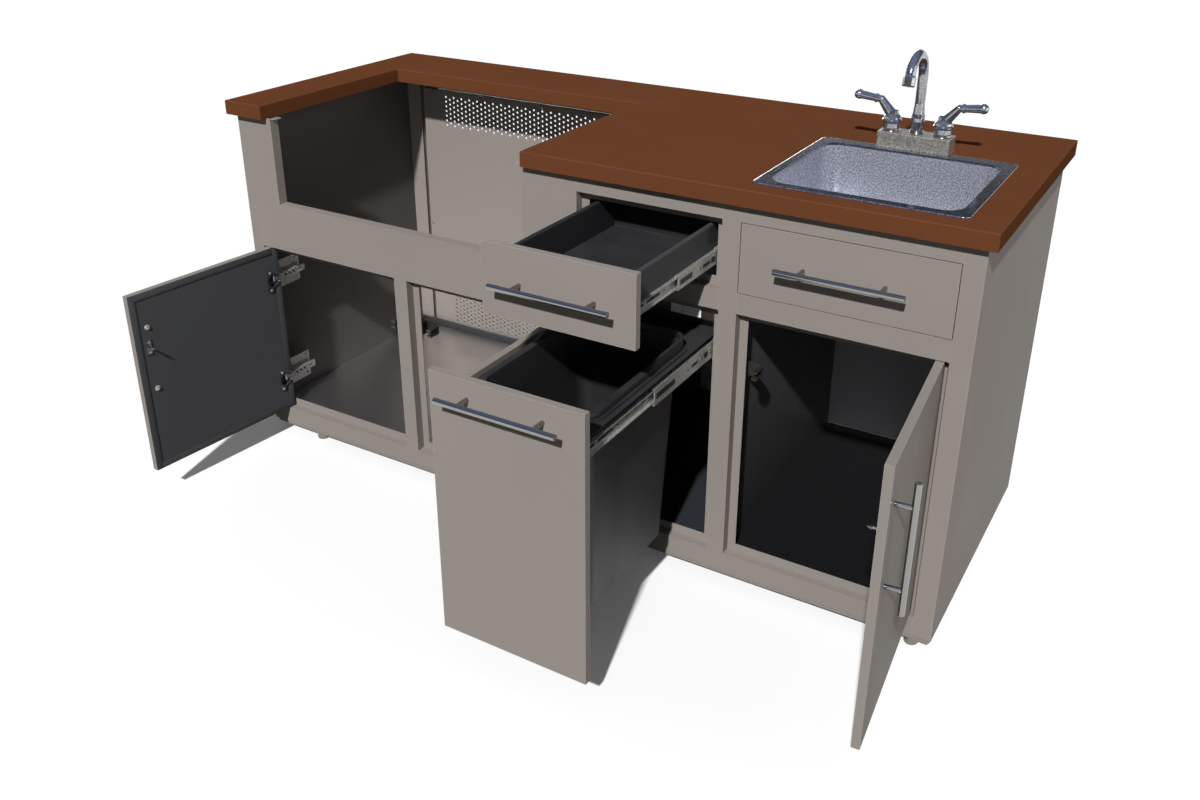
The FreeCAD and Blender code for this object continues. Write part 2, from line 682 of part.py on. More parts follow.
def countertop_core():
    """The boards that fill the folded skin: two arms, a back board and four round the sink."""
    z0, z1 = CASE_TOP, TOP_H - TOP_SKIN
    x0, x1 = TOP_SKIN - TOP_OVER_SIDE, CABINET_W + TOP_OVER_SIDE - TOP_SKIN
    y0, y1 = TOP_SKIN - TOP_OVER_FRONT, CABINET_D + TOP_OVER_BACK - TOP_SKIN
    cut0, cut1 = BAY_LEFT - CUT_MARGIN - TOP_SKIN, BAY_RIGHT + CUT_MARGIN + TOP_SKIN
    back = CUT_BACK + TOP_SKIN
    hole_x0, hole_y0, hole_x1, hole_y1 = cutout_plan()
    plans = [(x0, y0, cut0, back), (x0, back, x1, y1), (cut1, y0, hole_x0, back),
             (hole_x1, y0, x1, back), (hole_x0, y0, hole_x1, hole_y0), (hole_x0, hole_y1, hole_x1, back)]
    boards = [box(left, front, z0, right, rear, z1) for left, front, right, rear in plans]
    boards[-1] = boards[-1].cut(faucet_holes(z0 - 1, z1 + 1))
    return group(boards)


# Doors and fronts

def hinge_edge(opening, side):
    """The x of an opening's hinge edge: side 1 hinges on the left, -1 on the right."""
    return opening[0] if side > 0 else opening[1]


def pin_place(opening, side):
    """Where a door's hinge pins stand in plan."""
    return Vec(hinge_edge(opening, side) + side * PIN_IN, PIN_DEEP, 0)


def across(opening, side, near, far, y0, y1, z0, z1):
    """A block measured from an opening's hinge edge, whichever side that is."""
    edge = hinge_edge(opening, side)
    a, b = edge + side * near, edge + side * far
    return box(min(a, b), y0, z0, max(a, b), y1, z1)


def hinge_slot(opening, side, pin_z, width, reach, y0, y1):
    """The slot in a door's hinge edge that the fixed arm swings in."""
    return across(opening, side, 0, reach, y0, y1, pin_z - width / 2, pin_z + width / 2)


def cup_bore(opening, side, pin_z, radius, y0, y1):
    """A round block on the line of a hinge cup, for the cup or for its hole."""
    x = hinge_edge(opening, side) + side * CUP_IN
    return cylinder(radius, Vec(x, y0, pin_z), Vec(x, y1, pin_z))


def door_shell(opening, side, z0, z1, pins):
    """A door's outer pan: a face with folded edges and a narrow lip all round its back."""
    x0, x1 = opening[0] + DOOR_GAP, opening[1] - DOOR_GAP
    low, high = z0 + DOOR_GAP, z1 - DOOR_GAP
    shell = box(x0, 0, low, x1, DOOR_T, high)
    shell = shell.cut(box(x0 + DOOR_SKIN, DOOR_SKIN, low + DOOR_SKIN,
                          x1 - DOOR_SKIN, DOOR_T - DOOR_SKIN, high - DOOR_SKIN))
    shell = shell.cut(box(x0 + DOOR_LIP, DOOR_T - DOOR_SKIN - 1, low + DOOR_LIP,
                          x1 - DOOR_LIP, DOOR_T + 1, high - DOOR_LIP))
    for pin_z in pins:
        shell = shell.cut(cup_bore(opening, side, pin_z, CUP_R + GAP, DOOR_SKIN, DOOR_T + 1))
        shell = shell.cut(hinge_slot(opening, side, pin_z, ARM_H + 2 * ARM_PLAY, PIN_IN,
                                     DOOR_SKIN, DOOR_T + 1))
    return shell


def door_liner(opening, side, z0, z1, pins):
    """The dark sheet that closes a door's back, behind the lip."""
    margin = DOOR_GAP + DOOR_SKIN + GAP
    liner = box(opening[0] + margin, DOOR_T - 2 * DOOR_SKIN, z0 + margin,
                opening[1] - margin, DOOR_T - DOOR_SKIN, z1 - margin)
    for pin_z in pins:
        liner = liner.cut(cup_bore(opening, side, pin_z, CUP_R + GAP, 0, DOOR_T))
        liner = liner.cut(hinge_slot(opening, side, pin_z, ARM_H + 2 * ARM_PLAY, PIN_IN, 0, DOOR_T))
    return liner


def hinge_cup(opening, side, pin_z):
    """A round hinge cup let into the door's back, its flange with two ears, and the pin."""
    front, back, face = DOOR_SKIN + GAP, DOOR_T, DOOR_T + CUP_FLANGE_T
    edge = hinge_edge(opening, side)
    ears = rounded_plate(edge + side * CUP_EAR_IN, back, pin_z - CUP_EAR_H / 2,
                         edge + side * (CUP_EAR_IN + CUP_EAR_W), face, pin_z + CUP_EAR_H / 2, CUP_EAR_ROUND)
    cup = fuse([cup_bore(opening, side, pin_z, CUP_R, front, face),
                cup_bore(opening, side, pin_z, CUP_FLANGE_R, back, face), ears])
    cup = cup.cut(cup_bore(opening, side, pin_z, CUP_R - CUP_WALL, front + CUP_WALL, face + 1))
    half = ARM_H / 2 + ARM_PLAY
    cup = cup.cut(across(opening, side, 0, CUP_SLOT_IN, 0, face + 1, pin_z - half, pin_z + half))
    pin = pin_place(opening, side)
    bar = cylinder(PIN_R, Vec(pin.x, pin.y, pin_z - PIN_HALF), Vec(pin.x, pin.y, pin_z + PIN_HALF))
    return fuse([cup, bar])


def striker(opening, side, z):
    """The spear on a door's back that pushes into the catch."""
    x = hinge_edge(opening, side) + side * (opening[1] - opening[0] - STRIKER_IN)
    back = DOOR_T - DOOR_SKIN
    tip_start = back + STRIKER_LEN - STRIKER_TIP_LEN + 1
    base = box(x - STRIKER_BASE_W / 2, back, z - STRIKER_BASE_H / 2,
               x + STRIKER_BASE_W / 2, back + STRIKER_BASE_T, z + STRIKER_BASE_H / 2)
    shank = cylinder(STRIKER_R, Vec(x, back + 1, z), Vec(x, tip_start + 1, z))
    tip = Part.makeCone(STRIKER_R + STRIKER_TIP_MORE, 1.0, STRIKER_TIP_LEN,
                        Vec(x, tip_start, z), Vec(0, 1, 0))
    return fuse([base, shank, tip])


def bar_handle(centre, along, face_y=0.0):
    """A round bar on two posts, standing off a front."""
    bar_y = face_y - BAR_STANDOFF
    middle = Vec(centre.x, bar_y, centre.z)
    bar = cylinder(BAR_R, middle - along * (BAR_LEN / 2), middle + along * (BAR_LEN / 2))
    posts = []
    for end in (-1, 1):
        foot_point = Vec(centre.x, face_y, centre.z) + along * (end * POST_SPACING / 2)
        posts.append(cylinder(POST_R, foot_point, foot_point + Vec(0, -BAR_STANDOFF, 0)))
    return fuse([bar] + posts)


def door_handle(opening, side, head):
    """The upright bar handle near a door's free edge."""
    width = opening[1] - opening[0]
    x = hinge_edge(opening, side) + side * (width - DOOR_GAP - HANDLE_IN)
    return bar_handle(Vec(x, 0, head - DOOR_GAP - HANDLE_DROP), Vec(0, 0, 1))


def swing(shape, opening, side, angle):
    """A door piece swung open about its pins."""
    turned_shape = shape.copy()
    turned_shape.rotate(pin_place(opening, side), Vec(0, 0, 1), -side * angle)
    return turned_shape


def hinge_arm(opening, side, pin_z):
    """A fixed hinge arm: an angle plate on the stile, a bar, and the eye that holds the pin."""
    pin = pin_place(opening, side)
    low, high = pin_z - ARM_H / 2, pin_z + ARM_H / 2
    inner, outer = PIN_IN - ARM_T / 2, PIN_IN + ARM_T / 2
    plate_low, plate_high = pin_z - PLATE_H / 2, pin_z + PLATE_H / 2
    eye = cylinder(EYE_R, Vec(pin.x, pin.y, low), Vec(pin.x, pin.y, high))
    nose = across(opening, side, inner, outer, pin.y, FRAME_BACK + ARM_BAR_START + 2, low, high)
    bar = across(opening, side, inner - ARM_BAR_MORE, outer + ARM_BAR_MORE, FRAME_BACK + ARM_BAR_START,
                 FRAME_BACK + ARM_BAR_LEN, pin_z - ARM_BAR_H / 2, pin_z + ARM_BAR_H / 2)
    riser = across(opening, side, 0, inner, FRAME_BACK + RISER_START, FRAME_BACK + RISER_END, low, high)
    plate = across(opening, side, 0, PLATE_T, FRAME_BACK, FRAME_BACK + PLATE_LEN, plate_low, plate_high)
    pieces = [eye, nose, bar, riser, plate]
    if opening != OPEN_MID:
        pieces.append(across(opening, side, PLATE_LEG_IN - STILE_LEFT_W, 0, FRAME_DEPTH,
                             FRAME_BACK + PLATE_T, plate_low, plate_high))
    bore = cylinder(PIN_R + PIN_PLAY, Vec(pin.x, pin.y, low - 1), Vec(pin.x, pin.y, high + 1))
    slot = across(opening, side, inner - 2, outer + 2, FRAME_BACK + ARM_SLOT_START,
                  FRAME_BACK + ARM_SLOT_END, pin_z - ARM_SLOT_H / 2, pin_z + ARM_SLOT_H / 2)
    return fuse(pieces).cut(bore).cut(slot)


def catch(opening, side, z):
    """A spring catch on the stop frame: a block with a split mouth for the striker."""
    edge = hinge_edge(opening, side)
    width = opening[1] - opening[0]
    x = edge + side * (width - STRIKER_IN)
    wall = edge + side * (width - STOP_W)
    far = wall + side * CATCH_FOOT_W
    half_w, half_h = CATCH_W / 2, CATCH_STRAP_H / 2
    y0 = FRAME_BACK + CATCH_OFF
    y1 = y0 + CATCH_LEN
    jaws = [box(x - half_w, y0, z + min(way * CATCH_JAW_IN, way * CATCH_JAW_OUT),
                x + half_w, y1, z + max(way * CATCH_JAW_IN, way * CATCH_JAW_OUT)) for way in (-1, 1)]
    bridge = box(x - half_w, y1, z - CATCH_JAW_OUT, x + half_w, y1 + CATCH_BRIDGE, z + CATCH_JAW_OUT)
    strap = box(min(x, far), y1, z - half_h, max(x, far), y1 + CATCH_STRAP_T, z + half_h)
    foot_plate = box(min(wall, far), FRAME_BACK, z - half_h, max(wall, far), FRAME_BACK + STOP_T, z + half_h)
    web = box(far - 1, FRAME_BACK, z - half_h, far + 1, y1 + CATCH_STRAP_T, z + half_h)
    return fuse(jaws + [bridge, strap, foot_plate, web])


def front_panel(opening, z0, z1, y0):
    """A drawer or waste front: a folded pan closed at its back."""
    x0, x1 = opening[0] + DOOR_GAP, opening[1] - DOOR_GAP
    low, high = z0 + DOOR_GAP, z1 - DOOR_GAP
    shell = box(x0, y0, low, x1, y0 + DOOR_T, high)
    return shell.cut(box(x0 + DOOR_SKIN, y0 + DOOR_SKIN, low + DOOR_SKIN,
                         x1 - DOOR_SKIN, y0 + DOOR_T - DOOR_SKIN, high - DOOR_SKIN))


def false_front_clips():
    """Four spacers that hold the false front to the strips behind its opening."""
    x0, x1 = OPEN_SINK
    low = DRAWER_BOTTOM + STOP_W + CLIP_MARGIN
    high = DRAWER_TOP - STOP_W - CLIP_MARGIN - CLIP_H
    clips = []
    for left in (x0 + STOP_W - CLIP_W - DOOR_GAP, x1 - STOP_W + DOOR_GAP):
        for z in (low, high):
            clips.append(box(left, DOOR_T, z, left + CLIP_W, FRAME_DEPTH, z + CLIP_H))
    return group(clips)


# Slides

def slide_face(side):
    """The x of the fixed face that a slide is screwed to."""
    if side > 0:
        return OPEN_COLUMN[0] + STOP_W - SLIDE_OVERLAP
    return OPEN_COLUMN[1] - STOP_W + SLIDE_OVERLAP


def channel(side, web, flange, height, y0, y1, z):
    """One slide member: a C section along the travel, its web at one depth and its flanges to another."""
    base = slide_face(side)
    half, t = height / 2, SLIDE_SHEET
    inside = web + t if flange > web else web - t
    outline = [(web, -half), (flange, -half), (flange, t - half), (inside, t - half),
               (inside, half - t), (flange, half - t), (flange, half), (web, half)]
    return polygon([Vec(base + side * u, y0, z + v) for u, v in outline], Vec(0, y1 - y0, 0))


def slide_strip(side, near, far, y0, y1, z0, z1):
    """A block that lies between two depths of a slide."""
    base = slide_face(side)
    a, b = base + side * near, base + side * far
    return box(min(a, b), y0, min(z0, z1), max(a, b), y1, max(z0, z1))


def slide_slots(side, starts, z, near, far):
    """Long screw slots through a slide member's web."""
    return Part.makeCompound([
        slide_strip(side, near, far, y, y + SLOT_LEN, z - SLOT_H / 2, z + SLOT_H / 2) for y in starts])


def slide_outer(length, heights, z):
    """The two fixed members of a slide pair."""
    y0 = SLIDE_START
    members = []
    for side in (1, -1):
        member = channel(side, 0.0, OUTER_FLANGE, heights[0], y0, y0 + length, z)
        starts = (y0 + OUTER_SLOTS[0], y0 + length - OUTER_SLOTS[1])
        members.append(member.cut(slide_slots(side, starts, z, -1, SLIDE_SHEET + 1)))
    return group(members)


def slide_mid(length, heights, z, out):
    """The two travelling members with their ball cages, out half as far as the drawer."""
    y0 = SLIDE_START - out / 2
    y1 = y0 + length
    outer, middle, inner = (height / 2 for height in heights)
    members = []
    for side in (1, -1):
        member = channel(side, MIDDLE_WEB, MIDDLE_FLANGE, heights[1], y0, y1, z)
        starts = (y0 + MIDDLE_SLOTS[0], y0 + length / 2, y1 - MIDDLE_SLOTS[1])
        member = member.cut(slide_slots(side, starts, z, MIDDLE_WEB - 1, MIDDLE_WEB + SLIDE_SHEET + 1))
        cages = []
        for way in (-1, 1):
            cages.append(slide_strip(side, CAGE_NEAR, CAGE_FAR, y1 - CAGE_LEN, y1, z + way * middle,
                                     z + way * (outer - SLIDE_SHEET - SLIDE_PLAY)))
            cages.append(slide_strip(side, CAGE_NEAR + 1, CAGE_FAR, y0, y0 + CAGE_LEN,
                                     z + way * (middle - SLIDE_SHEET), z + way * (inner + SLIDE_PLAY)))
        members.append(fuse([member] + cages))
    return group(members)


def slide_inner(length, heights, z, out):
    """The two members screwed to the drawer or carrier."""
    y0 = SLIDE_START - out
    members = []
    for side in (1, -1):
        member = channel(side, SLIDE_T, INNER_FLANGE, heights[2], y0, y0 + length, z)
        starts = (y0 + INNER_SLOTS[0], y0 + length - INNER_SLOTS[1])
        members.append(member.cut(slide_slots(side, starts, z, SLIDE_T - SLIDE_SHEET - 1, SLIDE_T + 1)))
    return group(members)


def slide_brackets():
    """Channels that carry the slides off the walls, and the steel keeper bar under the rail."""
    pieces = []
    for length, heights, z in ((DRAWER_SLIDE_LEN, DRAWER_SLIDE_H, DRAWER_SLIDE_Z),
                               (TRASH_SLIDE_LEN, TRASH_SLIDE_H, TRASH_SLIDE_Z)):
        half = heights[0] / 2
        for side, wall in ((1, OPEN_COLUMN[0]), (-1, OPEN_COLUMN[1])):
            face = slide_face(side)
            t = side * SHEET
            outline = [(wall, -half), (face, -half), (face, half), (wall, half),
                       (wall, half - SHEET), (face - t, half - SHEET),
                       (face - t, SHEET - half), (wall, SHEET - half)]
            points = [Vec(x, SLIDE_START, z + v) for x, v in outline]
            pieces.append(polygon(points, Vec(0, length, 0)))
    bar_top = COLUMN_HEAD - STOP_W + KEEPER_RISE
    pieces.append(box(OPEN_COLUMN[0] + STOP_W / 2, FRAME_BACK, bar_top - KEEPER_H,
                      OPEN_COLUMN[1] - STOP_W / 2, FRAME_BACK + STOP_T, bar_top))
    return group(pieces)


# Drawer

def carried_span():
    """Left and right faces of what hangs between the slides."""
    return slide_face(1) + SLIDE_T, slide_face(-1) - SLIDE_T


def drawer_box():
    """The drawer box: four walls with rolled top edges round a floor set up from their lower edge."""
    x0, x1 = carried_span()
    y0 = -DRAWER_REST + DOOR_T
    y1 = y0 + BOX_LEN
    z0, z1 = DRAWER_BOTTOM + BOX_RISE, DRAWER_TOP - STOP_W - BOX_CLEAR
    body = box(x0, y0, z0, x1, y1, z1)
    floor = z0 + BOX_RECESS
    for low, high in ((floor + BOX_FLOOR, z1 + 1), (z0 - 1, floor)):
        body = body.cut(box(x0 + BOX_WALL, y0 + BOX_WALL, low, x1 - BOX_WALL, y1 - BOX_WALL, high))
    rims = [e for e in body.Edges if all(abs(v.Z - z1) < 0.01 for v in e.Vertexes)]
    return body.makeFillet(BOX_ROUND, rims)


# Waste pull-out

def waste_carrier():
    """The folded carrier that holds the bin by its rim, with wings over the slides."""
    x0, x1 = carried_span()
    y0 = -TRASH_REST + DOOR_T
    y1 = y0 + CARRIER_LEN
    t = CARRIER_T
    low = CARRIER_Z - CARRIER_DROP
    top = box(x0 - CARRIER_WING, y0, CARRIER_Z - t, x1 + CARRIER_WING, y1, CARRIER_Z)
    sides = [box(x0, y0, low, x0 + t, y1, CARRIER_Z), box(x1 - t, y0, low, x1, y1, CARRIER_Z)]
    front = box(x0, y0, low - CARRIER_DROP, x1, y0 + t, CARRIER_Z + CARRIER_LIP)
    back = box(x0, y1 - t, low, x1, y1, CARRIER_Z)
    carrier = fuse([top] + sides + [front, back])
    bx0, bx1, by0, by1 = bin_plan()
    margin = BIN_RIM - GAP - 1.0
    hole = rounded_prism(bx0 + margin, by0 + margin, bx1 - margin, by1 - margin,
                         CARRIER_Z - t - 1, CARRIER_Z + 1, BIN_CORNER - BIN_RIM)
    return carrier.cut(hole)


def bin_plan():
    """The plan box of the bin's rim."""
    x0, x1 = carried_span()
    middle = (x0 + x1) / 2
    y0 = -TRASH_REST + DOOR_T + BIN_BACK
    return middle - BIN_W / 2, middle + BIN_W / 2, y0, y0 + BIN_LEN


def bin_shell(inset, z0, z1):
    """The bin's tapered body, drawn in by an inset."""
    x0, x1, y0, y1 = bin_plan()
    top_in = BIN_RIM + inset
    low_in = BIN_RIM + BIN_TAPER + inset
    radius = BIN_CORNER - BIN_RIM
    top = rounded_wire(x0 + top_in, y0 + top_in, x1 - top_in, y1 - top_in, z1, radius)
    low = rounded_wire(x0 + low_in, y0 + low_in, x1 - low_in, y1 - low_in, z0, radius)
    return Part.makeLoft([low, top], True, True)


def waste_bin():
    """The bin: a tapered tub with a rolled rim above a groove and a flat skirt."""
    x0, x1, y0, y1 = bin_plan()
    skirt_low = CARRIER_Z + GAP
    skirt_high = skirt_low + BIN_SKIRT_H
    roll_low = skirt_high + BIN_GROOVE_H
    tub = bin_shell(0, BIN_BOTTOM, BIN_TOP)
    skirt = rounded_prism(x0 - BIN_SKIRT_OUT, y0 - BIN_SKIRT_OUT, x1 + BIN_SKIRT_OUT, y1 + BIN_SKIRT_OUT,
                          skirt_low, skirt_high, BIN_CORNER + BIN_SKIRT_OUT)
    groove = rounded_prism(x0 + BIN_GROOVE, y0 + BIN_GROOVE, x1 - BIN_GROOVE, y1 - BIN_GROOVE,
                           skirt_low, roll_low + 1, BIN_CORNER - BIN_GROOVE)
    roll = rounded_prism(x0, y0, x1, y1, roll_low, BIN_TOP, BIN_CORNER)
    upper = [e for e in roll.Edges if all(abs(v.Z - BIN_TOP) < 0.01 for v in e.Vertexes)]
    roll = roll.makeFillet(BIN_ROLL, upper)
    raised_top = BIN_TOP + BIN_RAISE
    lip = rounded_prism(x0, y0, x1, y1, roll_low, raised_top, BIN_CORNER)
    lip = lip.cut(rounded_prism(x0 + BIN_RAISE_T, y0 + BIN_RAISE_T, x1 - BIN_RAISE_T,
                                y1 - BIN_RAISE_T, roll_low - 1, raised_top + 1,
                                BIN_CORNER - BIN_RAISE_T))
    bend = y0 + BIN_RAISE_AT
    ramp = bend + 3 * BIN_RAISE
    wedge = polygon([Vec(x0 - 1, y0 - 1, BIN_TOP), Vec(x0 - 1, bend, BIN_TOP), Vec(x0 - 1, ramp, raised_top),
                     Vec(x0 - 1, ramp, raised_top + 1), Vec(x0 - 1, y0 - 1, raised_top + 1)],
                    Vec(BIN_W + 2, 0, 0))
    body = fuse([tub, skirt, groove, roll, lip.cut(wedge)])
    return body.cut(bin_shell(BIN_WALL, BIN_BOTTOM + BIN_WALL, BIN_TOP + 0.01))


# Sink

def bowl_plan():
    """The plan box of the bowl's inner walls."""
    return (SINK_X0 + SINK_LEDGE, SINK_X1 - SINK_LEDGE,
            SINK_Y0 + SINK_LEDGE, SINK_Y1 - SINK_LEDGE_BACK)


def bowl_block(grow, z0, z1, foot_radius):
    """The bowl as a block with rounded corners and a rounded floor edge."""
    x0, x1, y0, y1 = bowl_plan()
    body = rounded_prism(x0 - grow, y0 - grow, x1 + grow, y1 + grow, z0, z1, BOWL_CORNER + grow)
    floor_edges = [e for e in body.Edges if all(abs(v.Z - z0) < 0.01 for v in e.Vertexes)]
    return body.makeFillet(foot_radius, floor_edges)


def sink():
    """The drop-in sink: a pressed rim and a deep bowl with a drain hole."""
    rim_top = TOP_H + SINK_RIM_T
    floor_z = rim_top - SINK_DEPTH
    rim = rounded_prism(SINK_X0, SINK_Y0, SINK_X1, SINK_Y1, TOP_H, rim_top, SINK_RIM_CORNER)
    rim_edges = [e for e in rim.Edges if all(abs(v.Z - rim_top) < 0.01 for v in e.Vertexes)]
    rim = rim.makeFillet(SINK_RIM_ROUND, rim_edges)
    outer = bowl_block(SINK_SHEET, floor_z - SINK_SHEET, TOP_H + 1, SINK_FOOT_R + SINK_SHEET)
    inner = bowl_block(0.0, floor_z, rim_top + 1, SINK_FOOT_R)
    x, y = drain_place()
    hole = cylinder(DRAIN_NECK_R + GAP, Vec(x, y, floor_z - 10), Vec(x, y, floor_z + 10))
    return fuse([rim, outer]).cut(inner).cut(hole)


def drain_place():
    """Where the drain stands in plan."""
    x0, x1, y0, y1 = bowl_plan()
    return (x0 + x1) / 2, (y0 + y1) / 2


def ring_at(centre, inner, outer, low, high):
    """A turned ring between two radii and two heights."""
    return turned([(inner, low), (outer, low), (outer, high), (inner, high)], centre)


def sink_drain():
    """The drain: a flanged basket body, its lock nut and the tail pipe."""
    centre = Vec(*drain_place(), 0)
    floor_z = TOP_H + SINK_RIM_T - SINK_DEPTH
    low = floor_z - SINK_SHEET
    bore = DRAIN_NECK_R - DRAIN_WALL
    tail_bore = TAIL_R - DRAIN_WALL
    neck_low = low - DRAIN_NECK_LEN
    rim_low = floor_z + DRAIN_SEAT
    pieces = [
        ring_at(centre, bore, DRAIN_R, rim_low, rim_low + DRAIN_RIM_T),
        ring_at(centre, bore, DRAIN_NECK_R, neck_low, rim_low + 1),
        ring_at(centre, tail_bore, DRAIN_NECK_R, neck_low, neck_low + DRAIN_FLOOR),
        ring_at(centre, DRAIN_NECK_R, DRAIN_NUT_R, low - DRAIN_NUT_H, low - GAP),
        ring_at(centre, tail_bore, TAIL_R, low - TAIL_LEN, neck_low + 1),
        ring_at(centre, 0, DRAIN_NECK_R - 1, low - PLATE_DOWN[0], low - PLATE_DOWN[1]),
    ]
    holes = []
    half = DRAIN_HOLE_W / 2
    for step in range(DRAIN_HOLES):
        angle = 2 * math.pi * step / DRAIN_HOLES
        x = centre.x + DRAIN_HOLE_RING * math.cos(angle)
        y = centre.y + DRAIN_HOLE_RING * math.sin(angle)
        holes.append(box(x - half, y - half, low - PLATE_DOWN[0] - 1, x + half, y + half, low))
    return fuse(pieces).cut(Part.makeCompound(holes))


def sink_clips():
    """Eight small clamps that pull the sink's rim down on the top."""
    x0, x1, y0, y1 = bowl_plan()
    places = []
    for x in (x0 + CLAMP_IN, x1 - CLAMP_IN):
        places.append((x, y0 - CUTOUT_PLAY, 0, -1))
        places.append((x, y1 + CUTOUT_PLAY, 0, 1))
    for y in (y0 + CLAMP_IN, y1 - CLAMP_IN):
        places.append((x0 - CUTOUT_PLAY, y, -1, 0))
        places.append((x1 + CUTOUT_PLAY, y, 1, 0))
    half = CLAMP_W / 2
    clips = []
    for x, y, dx, dy in places:
        left, right = sorted((x - dx * CLAMP_BITE, x + dx * CLAMP_LEN)) if dx else (x - half, x + half)
        near, far = sorted((y - dy * CLAMP_BITE, y + dy * CLAMP_LEN)) if dy else (y - half, y + half)
        clips.append(box(left, near, CASE_TOP - CLAMP_T, right, far, CASE_TOP))
    return group(clips)


# Faucet

def valve_places():
    """The x of the two faucet valves."""
    return FAUCET_X - VALVE_PITCH, FAUCET_X + VALVE_PITCH


def block_base():
    """The height of the faucet block's underside, on the sink's rim."""
    return TOP_H + SINK_RIM_T


def faucet_block():
    """The faucet's rectangular body, with sockets for the spout and the valves."""
    z0 = block_base()
    z1 = z0 + BLOCK_H
    y0 = FAUCET_Y - BLOCK_D / 2
    body = rounded_prism(FAUCET_X - BLOCK_W / 2, y0, FAUCET_X + BLOCK_W / 2, y0 + BLOCK_D,
                         z0, z1, BLOCK_CORNER)
    top_edges = [e for e in body.Edges if all(abs(v.Z - z1) < 0.01 for v in e.Vertexes)]
    body = body.makeFillet(BLOCK_ROUND, top_edges)
    for x in (FAUCET_X,) + valve_places():
        body = body.cut(cylinder(SPOUT_STEM_R + FIT_PLAY, Vec(x, FAUCET_Y, z1 - SOCKET_DEEP),
                                 Vec(x, FAUCET_Y, z1 + 1)))
    return body


def faucet_shanks():
    """The seat under the block behind the sink, the two threaded shanks and their nuts."""
    z0 = block_base()
    y1 = FAUCET_Y + BLOCK_D / 2
    pieces = [box(FAUCET_X - BLOCK_W / 2, SINK_Y1 + 1, TOP_H, FAUCET_X + BLOCK_W / 2, y1, z0)]
    for x in valve_places():
        pieces.append(cylinder(SHANK_R, Vec(x, FAUCET_Y, z0 - SHANK_LEN), Vec(x, FAUCET_Y, z0)))
        corners = [math.radians(60 * corner) for corner in range(6)]
        ring = [Vec(x + SHANK_NUT_R * math.cos(a), FAUCET_Y + SHANK_NUT_R * math.sin(a),
                    CASE_TOP - SHANK_NUT_H) for a in corners]
        pieces.append(polygon(ring, Vec(0, 0, SHANK_NUT_H)))
    return fuse(pieces)


def spout():
    """The gooseneck spout: a turned base, a tapered riser, the arch and the aerator on its end."""
    z0 = block_base() + BLOCK_H + GAP
    bend = SPOUT_REACH / 2
    top = SPOUT_TOP - SPOUT_R - bend
    base_h = SPOUT_BASE[-1][1]
    riser_foot = z0 + base_h - 1
    base = turned([(0, -STEM_LEN), (SPOUT_STEM_R, -STEM_LEN), (SPOUT_STEM_R, 0), *SPOUT_BASE, (0, base_h)],
                  Vec(FAUCET_X, FAUCET_Y, z0))

    def along(angle):
        """A point on the arch's centre line, by its angle from the riser."""
        turn = math.radians(angle)
        return Vec(FAUCET_X, FAUCET_Y - bend + bend * math.cos(turn), top + bend * math.sin(turn))

    riser = Part.makeLine(Vec(FAUCET_X, FAUCET_Y, riser_foot), along(0))
    arch = Part.Arc(along(0), along(SPOUT_SWEEP / 2), along(SPOUT_SWEEP)).toShape()
    ring = Part.Wire(Part.makeCircle(SPOUT_R, Vec(FAUCET_X, FAUCET_Y, riser_foot), Vec(0, 0, 1)))
    pipe = Part.Wire([riser, arch]).makePipeShell([ring], True, False)
    end = along(SPOUT_SWEEP)
    aerator = turned([(0, -AERATOR_LEN), (AERATOR_R - 1.5, -AERATOR_LEN), (AERATOR_R, 2 - AERATOR_LEN),
                      (AERATOR_R, -3), (AERATOR_R - 2, 0.5), (0, 0.5)], end)
    aerator.rotate(end, Vec(1, 0, 0), SPOUT_SWEEP - 180)
    return fuse([base, pipe, aerator])


def lever(x):
    """The right valve's handle: a turned skirt and hub, and a lever that sweeps up and out."""
    z0 = block_base() + BLOCK_H + GAP
    hub = turned([(0, -STEM_LEN), (SPOUT_STEM_R, -STEM_LEN), (SPOUT_STEM_R, 0), *HUB, (0, HUB[-1][1] + 2)],
                 Vec(x, FAUCET_Y, z0))
    start = Vec(x, FAUCET_Y, z0 + LEVER_START)
    knee = Vec(x + LEVER_KNEE[0], FAUCET_Y, z0 + LEVER_KNEE[1])
    tip = Vec(x + LEVER_REACH, FAUCET_Y, z0 + LEVER_TIP)
    neck = Part.makeCone(LEVER_NECK[0], LEVER_NECK[1], (knee - start).Length, start, knee - start)
    joint = Part.makeSphere(LEVER_NECK[1], knee)
    arm = Part.makeCone(LEVER_ARM[0], LEVER_ARM[1], (tip - knee).Length, knee, tip - knee)
    along = (tip - knee).normalize()
    ring_start = knee + along * LEVER_NECK[1]
    collar = cylinder(LEVER_COLLAR[0], ring_start, ring_start + along * LEVER_COLLAR[1])
    return fuse([hub, neck, joint, arm, collar, Part.makeSphere(LEVER_BALL, tip)])


def panel_screws():
    """Pan-head screws round the vented panel, seen from the bay."""
    x0, x1 = vent_span()
    front = BACK_WALL_Y - BACK_SHEET
    screws = []
    for x in (x0 + SCREW_IN, (x0 + x1) / 2, x1 - SCREW_IN):
        for z in (OPENING_BOTTOM + PAN_LIP + SCREW_RISE, VENT_TOP - SCREW_IN):
            screws.append(Part.makeCone(SCREW_R, SCREW_CROWN_R, SCREW_H, Vec(x, front, z), Vec(0, -1, 0)))
    return group(screws)


